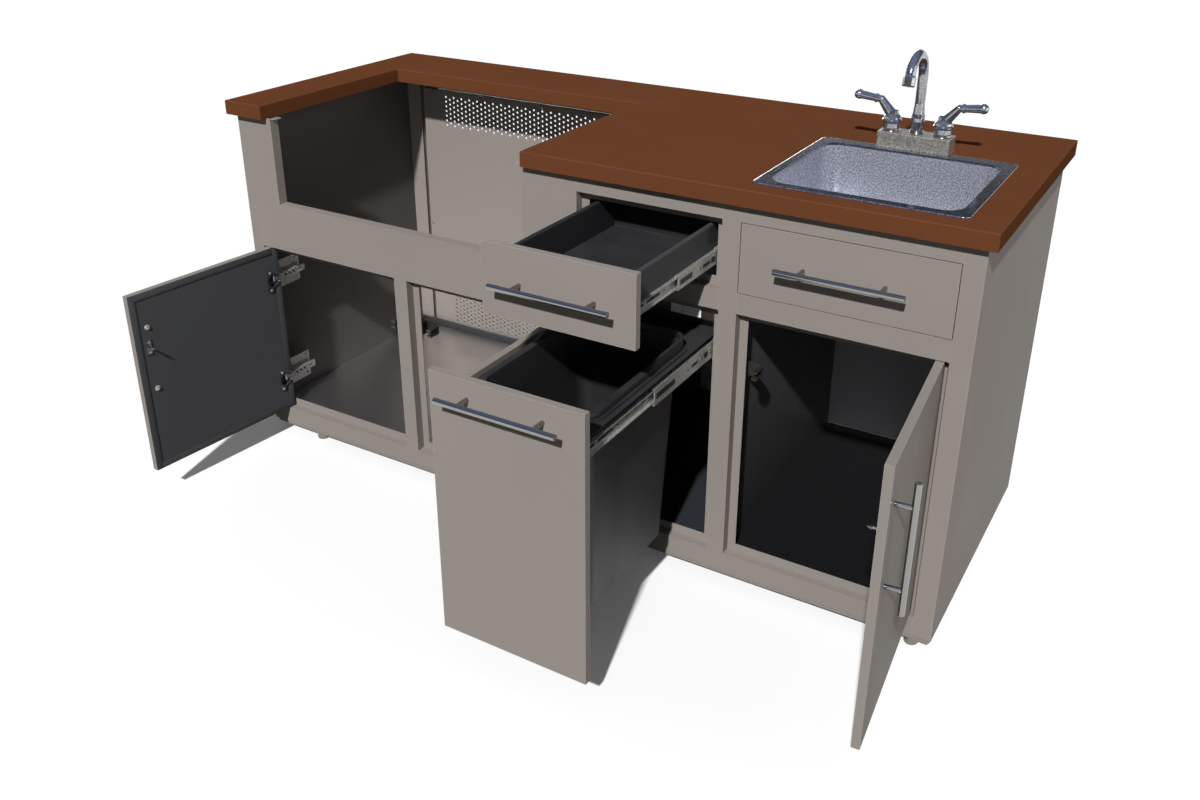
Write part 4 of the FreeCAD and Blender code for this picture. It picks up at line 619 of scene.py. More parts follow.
class Finish(Enum):
    """The finishes of the island."""

    # Each coat's edge strength and edge colour set a painted highlight along its edges
    TAUPE = PowderCoat("taupe_paint", FRONT_TONE, dust=0.0)
    TAUPE_PAN = PowderCoat("taupe_paint", FRONT_TONE, dust=0.0, edge=0.75, highlight_colour=(205, 201, 197),
                           back_colour=INNER_TONE)
    # The side panels' inner faces are a darker copy of the taupe: painted shade
    TAUPE_SHADED_INSIDE = PowderCoat("taupe_paint", FRONT_TONE, dust=0.0, back_colour=SHADED_WALL_TONE)
    # The back panels' inner faces in the column and the sink cabinet are painted far lighter than their
    # charcoal: painted light
    BACKS = PowderCoat("taupe_paint", FRONT_TONE, dust=0.0, edge=0.1, back_colour=FRONT_TONE,
                       bands=((COLUMN_LINE, (215, 222, 232)), (SINK_LINE, (172, 173, 178))))
    CHARCOAL = PowderCoat("charcoal_paint", (77, 78, 81), roughness=0.38, grain=0.25, edge=0.05,
                          highlight_colour=(100, 100, 102), dust=0.15)
    # The drawer box is darker left of BOX_LINE: painted shade on its left wall
    BOX = PowderCoat("charcoal_paint", SHADED_BOX_TONE, roughness=0.35, grain=0.3, edge=0.7,
                     highlight_colour=(110, 110, 112), dust=0.1, gloss=0.05, bands=((BOX_LINE, (64, 64, 67)),))
    CARRIER = PowderCoat("charcoal_paint", (46, 46, 49), roughness=0.4, grain=0.25, edge=0.3,
                         highlight_colour=(90, 90, 92), dust=0.1)
    # Dividers: the darker taupe is painted shade, the lighter tones of the column and the sink cabinet are
    # painted light, and the foot adds painted shade towards the bottom
    WALLS = PowderCoat("charcoal_paint", SHADED_WALL_TONE, roughness=0.3, grain=0.6, grain_scale=700.0, edge=0.05,
                       highlight_colour=(110, 108, 106), dust=0.0, gloss=0.6, foot=0.2, speck=0.10,
                       bands=((COLUMN_LINE, (112, 118, 128)), (SINK_LINE, (108, 108, 112))))
    # Floor pans: pale bare metal in the grill bay, a blue-grey tint in the column that is a painted
    # reflection, and near black in the sink cabinet
    PANS = Metal("charcoal_paint", (238, 235, 233), 0.34, brush_depth=0.02, bump=0.02, smudge=0.05,
                 mottle=0.14, mottle_scale=500.0,
                 bands=((COLUMN_LINE, (46, 49, 54)), (SINK_LINE, (25, 25, 27))))
    TOP = PowderCoat("top_paint", (100, 60, 38), roughness=0.6, grain=0.30, grain_scale=2200.0, peel=0.5,
                     peel_scale=1100.0, edge=0.30, highlight_colour=(168, 130, 105), dust=0.03, gloss=0.0)
    CHROME = Metal("chrome", (158, 159, 164), 0.12, bump=0.015, smudge=0.05, brush_depth=0.02, metallic=0.9,
                   speck=0.3)
    HANDLE = Metal("chrome", (152, 151, 148), 0.17, brush=(60.0, 900.0, 60.0), brush_depth=0.06, bump=0.02,
                   mottle=0.12, mottle_scale=500.0)
    CUP = Metal("zinc_plate", (122, 122, 124), 0.22, metallic=0.85, speck=0.5)
    CATCH = Metal("zinc_plate", (84, 79, 74), 0.35, mottle=0.4, mottle_scale=500.0, metallic=0.7)
    # Dark patches in slots and open channels: painted shade in the openings
    SLOT = MouldedPlastic("charcoal_paint", (20, 20, 21))
    # A white plate on the zinc keeper: a painted highlight
    PAINTED_HIGHLIGHT = PowderCoat("zinc_plate", (250, 251, 252), roughness=0.3, grain=0.05, edge=0.0, dust=0.0)
    ZINC = Metal("zinc_plate", (186, 185, 180), 0.3, brush=(900.0, 60.0, 900.0), brush_depth=0.12,
                 bump=0.10, smudge=0.15, metallic=0.6, speck=0.35)
    GLIDE = Metal("stainless_steel", (132, 130, 116), 0.36, brush_depth=0.06, bump=0.06, smudge=0.1)
    STAINLESS = Metal("stainless_steel", (180, 182, 193), 0.28, brush=(450.0, 450.0, 450.0),
                      brush_depth=0.6, bump=0.5, smudge=0.05, metallic=0.6, speck=0.5, rim_z=912.5)
    SATIN = Metal("stainless_steel", (158, 155, 146), 0.3, brush=(450.0, 450.0, 450.0), brush_depth=0.3,
                  bump=0.10, metallic=0.6, speck=0.38)
    BIN = MouldedPlastic("bin_plastic", (34, 34, 36))
    BOARD = RawBoard("board", (168, 148, 122))

    def material(self, back: Vector | None = None) -> bpy.types.Material:
        """The finish's material, made on first use.

        Args:
            back: The direction that a pan's second colour faces, or None.

        Returns:
            The material.
        """
        name = "finish_" + self.name.lower()
        if back is not None:
            name += "_%d_%d" % (round(back.x * 100), round(back.y * 100))
        known = bpy.data.materials.get(name)
        if known:
            return known
        made = bpy.data.materials.new(name)
        made.use_nodes = True
        self.value.fill(Skin(made, back))
        made.diffuse_color = linear(*self.value.colour)
        return made


def dress(finish: Finish, *nodes: str, back: Vector | None = None) -> None:
    """Give carried-over pieces their finish.

    Args:
        finish: The finish.
        *nodes: The pieces' names.
        back: The direction that a pan's second colour faces, or None.
    """
    material = finish.material(back)
    for node in nodes:
        piece = bpy.data.objects[node]
        if not piece.material_slots:
            piece.data.materials.append(None)
        for slot in piece.material_slots:
            slot.link = "OBJECT"
            slot.material = material
        LOG.info("%s: %s", node, finish.name.lower())


# Small pieces

# The outline of a pan head, as shares of its radius and height
PAN_HEAD = ((1.0, 0.0), (1.0, 0.35), (0.93, 0.65), (0.80, 0.86), (0.64, 0.95), (0.50, 0.98),
            (0.36, 1.0), (0.24, 1.0), (0.12, 1.0))
PAN_HEAD_TALL = 0.55

# Its cross recess: half its width and its reach as shares of the radius, its depth as a share of the
# half width, and the share of the height above which the head is cut
CROSS_HALF = 0.14
CROSS_REACH = 0.62
CROSS_DEPTH = 1.1
CROSS_FROM = 0.3

# The outline of a bolt head on its washer, as shares of its radius and heights in millimetres
BOLT_HEAD = ((1.35, 0.0), (1.35, 0.9), (1.28, 1.1), (1.0, 1.1), (1.0, 2.6), (0.92, 3.6), (0.7, 4.2),
             (0.42, 4.5), (0.36, 3.0))

# A thin plate's two faces above the face that it lies on, and the ease of its edges
PLATE_FACES = (0.02, 0.45)
PLATE_EASE = 0.1
SHARP_ANGLE = math.radians(25)


class Shop:
    """Makes one new piece from many small forms, in cabinet millimetres."""

    def __init__(self, name: str, body: str, finish: Finish) -> None:
        """Start an empty piece.

        Args:
            name: The piece's name.
            body: The body that it moves with.
            finish: Its finish.
        """
        self.name = name
        self.body = body
        self.finish = finish
        self.mesh = bmesh.new()

    def turned(self, profile: Profile, place: Vector, axis: Vector, sides: int = 12,
               cross: float = 0.0) -> None:
        """Spin a profile about an axis.

        Args:
            profile: Radius and height pairs, from the foot outwards and up to the middle of the top.
            place: The foot of the axis.
            axis: The direction of the height.
            sides: Points round the axis.
            cross: Half width of a cross recess in the top, or 0 for none.
        """
        spin = axis.to_track_quat("Z", "Y").to_matrix()
        reach = CROSS_REACH * profile[0][0]
        cut_from = CROSS_FROM * profile[-1][1]
        rings = []
        for radius, height in profile:
            ring = []
            for step in range(sides):
                angle = 2 * math.pi * step / sides
                u, v = radius * math.cos(angle), radius * math.sin(angle)
                in_cross = min(abs(u), abs(v)) < cross and max(abs(u), abs(v)) < reach
                depth = CROSS_DEPTH * cross if in_cross and height > cut_from else 0.0
                ring.append(self.mesh.verts.new(place + spin @ Vector((u, v, height - depth))))
            rings.append(ring)
        for low, high in zip(rings, rings[1:]):
            for step in range(sides):
                after = (step + 1) % sides
                self.mesh.faces.new((low[step], low[after], high[after], high[step]))
        self.mesh.faces.new(rings[-1])

    def screw(self, place: Vector, axis: Vector, radius: float) -> None:
        """A pan head screw with a cross recess, by its seat, its direction and its head's radius."""
        profile = tuple((radius * r, PAN_HEAD_TALL * radius * h) for r, h in PAN_HEAD)
        self.turned(profile, place, axis, sides=32, cross=CROSS_HALF * radius)

    def bolt(self, place: Vector, axis: Vector, radius: float) -> None:
        """A low round bolt head on a washer, by its seat, its direction and its radius."""
        self.turned(tuple((radius * r, h) for r, h in BOLT_HEAD), place, axis, sides=30)

    def block(self, low: Vector, high: Vector, ease: float) -> None:
        """A block with eased edges.

        Args:
            low: Its corner with the lowest numbers.
            high: Its corner with the highest numbers.
            ease: How far the edges are taken off.
        """
        verts = bmesh.ops.create_cube(self.mesh, size=1.0)["verts"]
        centre = (low + high) / 2
        for vert in verts:
            vert.co = centre + vert.co * (high - low)
        edges = list(dict.fromkeys(edge for vert in verts for edge in vert.link_edges))
        bmesh.ops.bevel(self.mesh, geom=edges, offset=ease, segments=2, affect="EDGES", profile=0.6)

    def patch(self, centre: Vector, half_y: float, half_z: float, side: int = 1) -> None:
        """A thin plate on a face that looks sideways.

        Args:
            centre: The plate's middle on that face.
            half_y: Half its length.
            half_z: Half its height.
            side: 1 for a face that looks right, -1 for left.
        """
        near, far = sorted(side * face for face in PLATE_FACES)
        self.block(centre + Vector((near, -half_y, -half_z)), centre + Vector((far, half_y, half_z)),
                   PLATE_EASE)

    def ball(self, centre: Vector, radius: float) -> None:
        """A steel ball."""
        bmesh.ops.create_icosphere(self.mesh, subdivisions=2, radius=radius,
                                   matrix=Matrix.Translation(centre))

    def done(self, turn: Matrix | None = None) -> bpy.types.Object:
        """Finish the piece.

        Args:
            turn: A move from the closed place to the rest place, in cabinet millimetres, or None.

        Returns:
            The piece, dressed and riding on its body.
        """
        if turn is not None:
            self.mesh.transform(turn)
        self.mesh.transform(Matrix.Scale(MM, 4) @ Matrix.Translation(-CABINET_ORIGIN))
        bmesh.ops.recalc_face_normals(self.mesh, faces=self.mesh.faces)
        data = bpy.data.meshes.new(self.name)
        self.mesh.to_mesh(data)
        self.mesh.free()
        for polygon in data.polygons:
            polygon.use_smooth = True
        data.set_sharp_from_angle(angle=SHARP_ANGLE)
        data.materials.append(self.finish.material())
        piece = bpy.data.objects.new(self.name, data)
        bpy.context.scene.collection.objects.link(piece)
        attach(piece, self.body)
        LOG.info("%s: %s, on %s, %d faces", self.name, self.finish.name.lower(), self.body,
                 len(data.polygons))
        return piece


# Sub-assemblies

@dataclass
class Door:
    """One hinged door, in cabinet millimetres as it stands when closed.

    side is 1 for a door with its hinges on the left, and -1 for one with them on the right.
    """

    name: str
    left: float
    right: float
    side: int
    head: float
    rest: float
    pins: Pair
    catch_z: float
    bottom: float = 78.0
    gap: float = 2.0
    thick: float = 16.0
    skin: float = 1.5
    pin_in: float = 15.0
    pin_deep: float = 5.5
    handle_in: float = 38.0
    handle_drop: float = 168.0
    post_spacing: float = 160.0
    post_bolt_r: float = 5.0
    ear_screw_in: float = 34.0
    ear_screw_up: float = 24.0
    ear_screw_r: float = 3.6
    ear_thick: float = 1.5
    striker_in: float = 36.0
    striker_screw_up: float = 13.0
    striker_screw_r: float = 2.6
    striker_thick: float = 2.0
    roller_y: float = 29.0
    roller_up: float = 7.5
    roller_r: float = 3.1
    border_in: float = 1.3
    border_w: float = 15.0
    border_faces: Pair = (-0.05, 0.3)
    border_ease: float = 0.08
    cup_clear: float = 19.0
    arm_face: float = 18.0
    arm_slots_y: tuple[float, ...] = (45.0, 59.0, 73.0)
    arm_slot_half: Pair = (3.6, 3.2)
    arm_rivets_y: tuple[float, ...] = (36.5, 52.0, 66.0, 80.0)
    arm_rivet_up: float = 5.8
    arm_rivet: Profile = ((1.6, 0.0), (1.6, 0.6), (0.8, 1.0))
    plate_face: float = 2.0
    plate_screws_y: Pair = (36.0, 98.0)
    plate_screw_up: float = 27.0
    plate_screw_r: float = 4.0

    @property
    def turn(self) -> Matrix:
        """The move from closed to rest, about the hinge pins.

        Returns:
            The move, in cabinet millimetres.
        """
        pin = Vector((self.inward(self.pin_in), self.pin_deep, 0))
        spin = Matrix.Rotation(math.radians(-self.side * self.rest), 4, "Z")
        return Matrix.Translation(pin) @ spin @ Matrix.Translation(-pin)

    def inward(self, far: float) -> float:
        """The x at a distance from the hinge edge."""
        return (self.left if self.side > 0 else self.right) + self.side * far

    def build(self) -> None:
        """Dress the door and add its fasteners and strips."""
        own = "door_%s_" % self.name
        turned = self.turn.to_3x3()
        back = turned @ TO_REAR
        hinge_way = turned @ (-self.side * TO_RIGHT)
        dress(Finish.TAUPE_PAN, own + "shell", back=(back.normalized() + hinge_way).normalized())
        dress(Finish.CHARCOAL, own + "liner")
        dress(Finish.CUP, own + "hardware")
        dress(Finish.HANDLE, own + "handle")
        self.fasteners()
        self.border()
        self.frame_details()

    def fasteners(self) -> None:
        """Add the bolts of the handle and the screws of the hinges and the striker."""
        width = self.right - self.left
        bar_x = self.inward(width - self.gap - self.handle_in)
        bar_z = self.head - self.gap - self.handle_drop
        bolts = Shop("door_%s_handle_bolts" % self.name, "door_" + self.name, Finish.ZINC)
        for end in (-0.5, 0.5):
            bolts.bolt(Vector((bar_x, self.thick - self.skin, bar_z + end * self.post_spacing)), TO_REAR,
                       self.post_bolt_r)
        bolts.done(self.turn)
        screws = Shop("door_%s_hinge_screws" % self.name, "door_" + self.name, Finish.ZINC)
        ear = (self.inward(self.ear_screw_in), self.thick + self.ear_thick, self.ear_screw_up,
               self.ear_screw_r)
        striker = (self.inward(width - self.striker_in), self.thick + self.striker_thick,
                   self.striker_screw_up, self.striker_screw_r)
        for middle, (x, y, up, radius) in [(pin_z, ear) for pin_z in self.pins] + [(self.catch_z, striker)]:
            for end in (-1, 1):
                screws.screw(Vector((x, y, middle + end * up)), TO_REAR, radius)
        screws.done(self.turn)

    def border(self) -> None:
        """Cover the joint between the pan's folded lip and the liner with a flat dark strip.

        The strip leaves room for the hinges, which close over the hinge side.
        """
        inset, wide = self.gap + self.border_in, self.border_w
        x0, x1 = self.left + inset, self.right - inset
        z0, z1 = self.bottom + inset, self.head - inset
        hinge_x, free_x = (x0, x1 - wide) if self.side > 0 else (x1 - wide, x0)
        stops = [z0] + [pin_z + end * self.cup_clear for pin_z in self.pins for end in (-1, 1)] + [z1]
        parts = [(free_x, z0, free_x + wide, z1)]
        parts += [(x0 + wide, low, x1 - wide, low + wide) for low in (z0, z1 - wide)]
        parts += [(hinge_x, low, hinge_x + wide, high) for low, high in zip(stops[::2], stops[1::2])]
        near, far = [self.thick + face for face in self.border_faces]
        strips = Shop("door_%s_border" % self.name, "door_" + self.name, Finish.CHARCOAL)
        for left, low, right, high in parts:
            strips.block(Vector((left, near, low)), Vector((right, far, high)), self.border_ease)
        strips.done(self.turn)

    def frame_details(self) -> None:
        """Add the slots, rivets and screws of the hinge arms and the rollers of the catch."""
        inwards = self.side * TO_RIGHT
        # The slots are dark patches: painted shade in the openings of the hinge arms
        slots = Shop("hinge_slots_" + self.name, "root", Finish.SLOT)
        screws = Shop("plate_screws_" + self.name, "root", Finish.HANDLE)
        arm_x, plate_x = self.inward(self.arm_face), self.inward(self.plate_face)
        for pin_z in self.pins:
            for y in self.arm_slots_y:
                slots.patch(Vector((arm_x, y, pin_z)), *self.arm_slot_half, self.side)
            for y in self.arm_rivets_y:
                for up in (-self.arm_rivet_up, self.arm_rivet_up):
                    screws.turned(self.arm_rivet, Vector((arm_x, y, pin_z + up)), inwards)
            for up in (self.plate_screw_up, -self.plate_screw_up):
                for y in self.plate_screws_y:
                    screws.screw(Vector((plate_x, y, pin_z + up)), inwards, self.plate_screw_r)
        slots.done()
        screws.done()
        rollers = Shop("catch_rollers_" + self.name, "root", Finish.HANDLE)
        roller_x = self.inward(self.right - self.left - self.striker_in)
        for up in (-self.roller_up, self.roller_up):
            rollers.ball(Vector((roller_x, self.roller_y, self.catch_z + up)), self.roller_r)
        rollers.done()


@dataclass
class Case:
    """The cabinet's sheets, frames, base and feet, and its top with the board in it."""

    taupe: tuple[str, ...] = ("grill_surround", "face_stiles", "face_rails", "stop_frames",
                              "back_frame", "base_frame")
    foot_rows: tuple[str, ...] = ("front", "rear")
    foot_columns: tuple[str, ...] = ("left", "middle", "right")

    def build(self) -> None:
        """Dress the sheets, the feet and the top."""
        dress(Finish.TAUPE, *self.taupe)
        # The side panels' inner faces take painted shade
        dress(Finish.TAUPE_SHADED_INSIDE, "side_panel_left", back=TO_RIGHT)
        dress(Finish.TAUPE_SHADED_INSIDE, "side_panel_right", back=-TO_RIGHT)
        dress(Finish.BACKS, "back_panels", back=-TO_REAR)
        dress(Finish.WALLS, "dividers")
        dress(Finish.PANS, "floor_pans")
        dress(Finish.GLIDE, *["foot_%s_%s" % (row, column) for row in self.foot_rows
                              for column in self.foot_columns])
        dress(Finish.ZINC, "panel_screws")
        dress(Finish.TOP, "countertop")
        dress(Finish.BOARD, "countertop_core")


@dataclass
class VentPanel:
    """The lift-out rear panel of the grill bay, with its two bands of round holes."""

    left: float = 60.0
    right: float = 882.5
    low: float = 102.3
    high: float = 829.0
    face_y: float = 638.5
    fold: float = 16.5
    sheet: float = 1.5
    hole_r: float = 3.1
    pitch_x: float = 13.8
    pitch_z: float = 13.6
    rows: int = 7
    margin: float = 77.0
    band_low: Pair = (112.0, 730.5)
    steps: int = 3

    def grid(self) -> tuple[list[float], list[list[float]]]:
        """The lines on which the holes' middles stand, half a pitch apart.

        Returns:
            The lines across the panel, and the lines up each band.
        """
        columns = int((self.right - self.left - 2 * self.margin) / self.pitch_x)
        start = (self.left + self.right) / 2 - columns * self.pitch_x / 2
        across = [start + (i - 1) * self.pitch_x / 2 for i in range(2 * columns + 3)]
        bands = [[low + (j - 1) * self.pitch_z / 2 for j in range(2 * self.rows + 1)]
                 for low in self.band_low]
        return across, bands

    def holed(self, i: int, j: int, last: int) -> bool:
        """Whether a hole stands where line i across meets line j up, with every other column shifted."""
        inside = 1 <= i <= last and 1 <= j <= 2 * self.rows - 1
        return inside and i % 2 == 1 and j % 2 != (i // 2) % 2

    def cell(self, i: int, j: int, across: list[float], band: list[float]) -> list[Pair]:
        """The outline of one cell of the grid, with a quarter round at each hole.

        Args:
            i: The number of the line on its left.
            j: The number of the line below it.
            across: The lines across the panel.
            band: The lines up the band.

        Returns:
            The outline's points.
        """
        outline = []
        around = ((i, j, 1, 1), (i + 1, j, -1, 1), (i + 1, j + 1, -1, -1), (i, j + 1, 1, -1))
        for number, (a, b, way_x, way_z) in enumerate(around):
            x, z = across[a], band[b]
            if not self.holed(a, b, len(across) - 2):
                outline.append((x, z))
                continue
            turns = [math.radians(90 * step / self.steps) for step in range(self.steps + 1)]
            if number % 2 == 0:
                turns.reverse()
            outline += [(x + way_x * self.hole_r * math.cos(turn), z + way_z * self.hole_r * math.sin(turn))
                        for turn in turns]
        return outline

    def outlines(self) -> list[list[Pair]]:
        """Every flat part of the sheet, by its outline.

        Returns:
            The outlines of the cells, then those of the plain parts round the two bands.
        """
        across, (low_band, high_band) = self.grid()
        found = [self.cell(i, j, across, band) for band in (low_band, high_band)
                 for i in range(len(across) - 1) for j in range(len(band) - 1)]
        first, last = across[0], across[-1]
        found.append([(self.left, self.low), (self.right, self.low), (last, low_band[0])]
                     + [(x, low_band[0]) for x in reversed(across[:-1])])
        found.append([(x, low_band[-1]) for x in across] + [(x, high_band[0]) for x in reversed(across)])
        found.append([(x, high_band[-1]) for x in across]
                     + [(self.right, self.high), (self.left, self.high)])
        up = sorted(low_band + high_band)
        found.append([(self.left, self.high), (self.left, self.low)] + [(first, z) for z in up])
        found.append([(self.right, self.low), (self.right, self.high)] + [(last, z) for z in reversed(up)])
        return found

    def at_rim(self, point: Vector) -> bool:
        """Whether a point lies on the sheet's outer edge."""
        gaps = (point.x - self.left, point.x - self.right, point.z - self.low, point.z - self.high)
        return min(abs(gap) for gap in gaps) < 0.1

    def build(self) -> None:
        """Build the perforated panel in place of its coarse stand-in."""
        shop = Shop("vented_panel", "root", Finish.TAUPE)
        mesh = shop.mesh
        corners: dict[Pair, bmesh.types.BMVert] = {}
        for outline in self.outlines():
            ring = []
            for x, z in outline:
                key = (round(x, 3), round(z, 3))
                if key not in corners:
                    corners[key] = mesh.verts.new(Vector((x, self.face_y, z)))
                ring.append(corners[key])
            if len(set(ring)) > 2:
                mesh.faces.new(ring)
        bmesh.ops.recalc_face_normals(mesh, faces=mesh.faces)
        rim = [edge for edge in mesh.edges
               if edge.is_boundary and all(self.at_rim(vert.co) for vert in edge.verts)]
        for item in bmesh.ops.extrude_edge_only(mesh, edges=rim)["geom"]:
            if isinstance(item, bmesh.types.BMVert):
                item.co.y += self.fold
        piece = shop.done()
        thick = piece.modifiers.new("sheet", "SOLIDIFY")
        thick.thickness = self.sheet * MM
        thick.offset = -1.0
        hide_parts("vent_panel")


@dataclass(frozen=True)
class SlideRun:
    """One telescopic slide: its name, its body, its height and how far it is out at rest."""

    name: str
    body: str
    z: float
    out: float


@dataclass
class Column:
    """The drawer, the waste pull-out and their slides.

    Lengths along a pulled-out middle member are shares of the way that it is out.
    """

    runs: tuple[SlideRun, ...] = (SlideRun("drawer", "drawer", 752.0, 336.0),
                                  SlideRun("waste", "waste_pullout", 549.0, 505.0))
    members: tuple[str, ...] = ("outer", "mid", "inner")
    slide_y: float = 27.0
    inner_face: float = 1285.0
    inner_slots_y: Pair = (34.0, 96.0)
    inner_slot_half: Pair = (15.0, 3.0)
    inner_rivets_from: float = 60.0
    inner_rivet_pitch: float = 34.0
    inner_rivets_end: float = 12.0
    inner_rivet: Profile = ((2.2, 0.0), (2.2, 0.5), (1.2, 0.9))
    mid_face: float = 1293.7
    window_from: float = 8.0
    window_share: float = 0.30
    window_half: float = 5.5
    latch_share: float = 0.62
    latch_size: Pair = (26.0, 3.5)
    stop_share: float = 0.84
    stop_size: Pair = (16.0, 6.0)
    balls: int = 7
    balls_from: float = 12.0
    balls_short: float = 10.0
    ball_up: float = 3.4
    ball: Profile = ((1.7, 0.0), (1.7, 0.7), (0.9, 1.1))
    mid_rivets: tuple[float, ...] = (0.55, 0.79, 0.95)
    mid_rivet: Profile = ((3.4, 0.0), (3.4, 0.6), (1.6, 1.1))
    keeper_y: float = 25.0
    cover_x: Pair = (1060.0, 1303.0)
    cover_z: Pair = (612.5, 636.5)
    cover_rise: Pair = (0.5, 0.02)
    # Where the painted highlight on the keeper lies
    highlight_x: Pair = (1196.0, 1265.0)
    highlight_z: Pair = (613.0, 636.0)
    highlight_rise: Pair = (0.9, 0.45)
    marks: tuple[int, int] = (12, 3)
    mark_from: Pair = (1219.0, 618.0)
    mark_pitch: Pair = (3.7, 6.4)
    mark_size: Pair = (0.9, 3.6)
    mark_rise: Pair = (1.1, 0.8)
    mark_ease: float = 0.05

    def inner_details(self, run: SlideRun) -> None:
        """Add slots and rivets to the pulled-out inner member of a slide's right side.

        Args:
            run: The slide.
        """
        # The slots are dark patches: painted shade in the openings
        slots = Shop(run.name + "_inner_slots", run.body, Finish.SLOT)
        rivets = Shop(run.name + "_inner_rivets", run.body, Finish.HANDLE)
        end = Vector((self.inner_face, self.slide_y - run.out, run.z))
        for ahead in self.inner_slots_y:
            slots.patch(end + ahead * TO_REAR, *self.inner_slot_half)
        ahead = self.inner_rivets_from
        while ahead < run.out / 2 - self.inner_rivets_end:
            rivets.turned(self.inner_rivet, end + ahead * TO_REAR, TO_RIGHT)
            ahead += self.inner_rivet_pitch
        slots.done()
        rivets.done()

    def mid_details(self, run: SlideRun) -> None:
        """Add slots, balls and rivets to the pulled-out middle member of a slide's right side.

        Args:
            run: The slide.
        """
        # The window, latch and stop are dark patches: the window's is painted shade in the member's open
        # channel
        slots = Shop(run.name + "_mid_slots", run.name + "_slide_middle", Finish.SLOT)
        rivets = Shop(run.name + "_mid_rivets", run.name + "_slide_middle", Finish.HANDLE)
        out = run.out / 2
        end = Vector((self.mid_face, self.slide_y - out, run.z))
        window = self.window_share * out
        for ahead, (length, half) in ((self.window_from, (window, self.window_half)),
                                      (self.latch_share * out, self.latch_size),
                                      (self.stop_share * out, self.stop_size)):
            slots.patch(end + (ahead + length / 2) * TO_REAR, length / 2, half)
        for step in range(self.balls):
            ahead = self.balls_from + step * (window - self.balls_short) / (self.balls - 1)
            for up in (-self.ball_up, self.ball_up):
                rivets.turned(self.ball, end + Vector((0, ahead, up)), TO_RIGHT, sides=10)
        for share in self.mid_rivets:
            rivets.turned(self.mid_rivet, end + share * out * TO_REAR, TO_RIGHT, sides=16)
        slots.done()
        rivets.done()

    def on_rail(self, shop: Shop, x: Pair, z: Pair, rise: Pair, ease: float = PLATE_EASE) -> None:
        """Add a thin plate to the face of the rail over the waste pull-out.

        Args:
            shop: The piece that the plate is part of.
            x: Its two ends across the cabinet.
            z: Its lower and upper edge.
            rise: How far its face and its back stand before the rail.
            ease: How far its edges are taken off.
        """
        shop.block(Vector((x[0], self.keeper_y - rise[0], z[0])),
                   Vector((x[1], self.keeper_y - rise[1], z[1])), ease)

    def keeper(self) -> None:
        """Add the pale strip, a painted highlight on the zinc keeper, with its fine marks on the rail over
        the waste pull-out.
        """
        cover = Shop("keeper_cover", "root", Finish.CATCH)
        self.on_rail(cover, self.cover_x, self.cover_z, self.cover_rise)
        cover.done()
        # The pale strip is a painted highlight on the zinc keeper
        strip = Shop("keeper_painted_highlight", "root", Finish.PAINTED_HIGHLIGHT)
        self.on_rail(strip, self.highlight_x, self.highlight_z, self.highlight_rise)
        strip.done()
        marks = Shop("keeper_marks", "root", Finish.CATCH)
        columns, rows = self.marks
        for row in range(rows):
            for column in range(columns):
                x = self.mark_from[0] + self.mark_pitch[0] * column
                z = self.mark_from[1] + self.mark_pitch[1] * row
                self.on_rail(marks, (x, x + self.mark_size[0]), (z, z + self.mark_size[1]),
                             self.mark_rise, self.mark_ease)
        marks.done()

    def build(self) -> None:
        """Dress the drawer, the waste pull-out and the slides, and add their details."""
        dress(Finish.TAUPE_PAN, "drawer_front", "waste_front", back=TO_REAR)
        dress(Finish.HANDLE, "drawer_handle", "waste_handle")
        dress(Finish.BOX, "drawer_box")
        dress(Finish.CARRIER, "waste_carrier")
        dress(Finish.BIN, "waste_bin")
        dress(Finish.ZINC, "slide_brackets", "hinge_arms")
        dress(Finish.CATCH, "catches")
        for run in self.runs:
            dress(Finish.ZINC, *["%s_slide_%s" % (run.name, member) for member in self.members])
            self.inner_details(run)
            self.mid_details(run)
        self.keeper()


@dataclass
class SinkUnit:
    """The sink, its false front and the faucet."""

    def build(self) -> None:
        """Dress the sink and the faucet."""
        dress(Finish.TAUPE_PAN, "false_front", back=TO_REAR)
        dress(Finish.HANDLE, "false_front_handle")
        dress(Finish.STAINLESS, "sink")
        dress(Finish.SATIN, "sink_drain", "faucet_block")
        dress(Finish.ZINC, "false_front_clips", "sink_clips", "faucet_shanks")
        dress(Finish.CHROME, "spout", "lever_hot", "lever_cold")


@dataclass(frozen=True)
class Lamp:
    """A far lamp: the way towards it, its share of a plain level, and its spread in degrees."""

    name: str
    way: tuple[float, float, float]
    strength: float
    spread: float


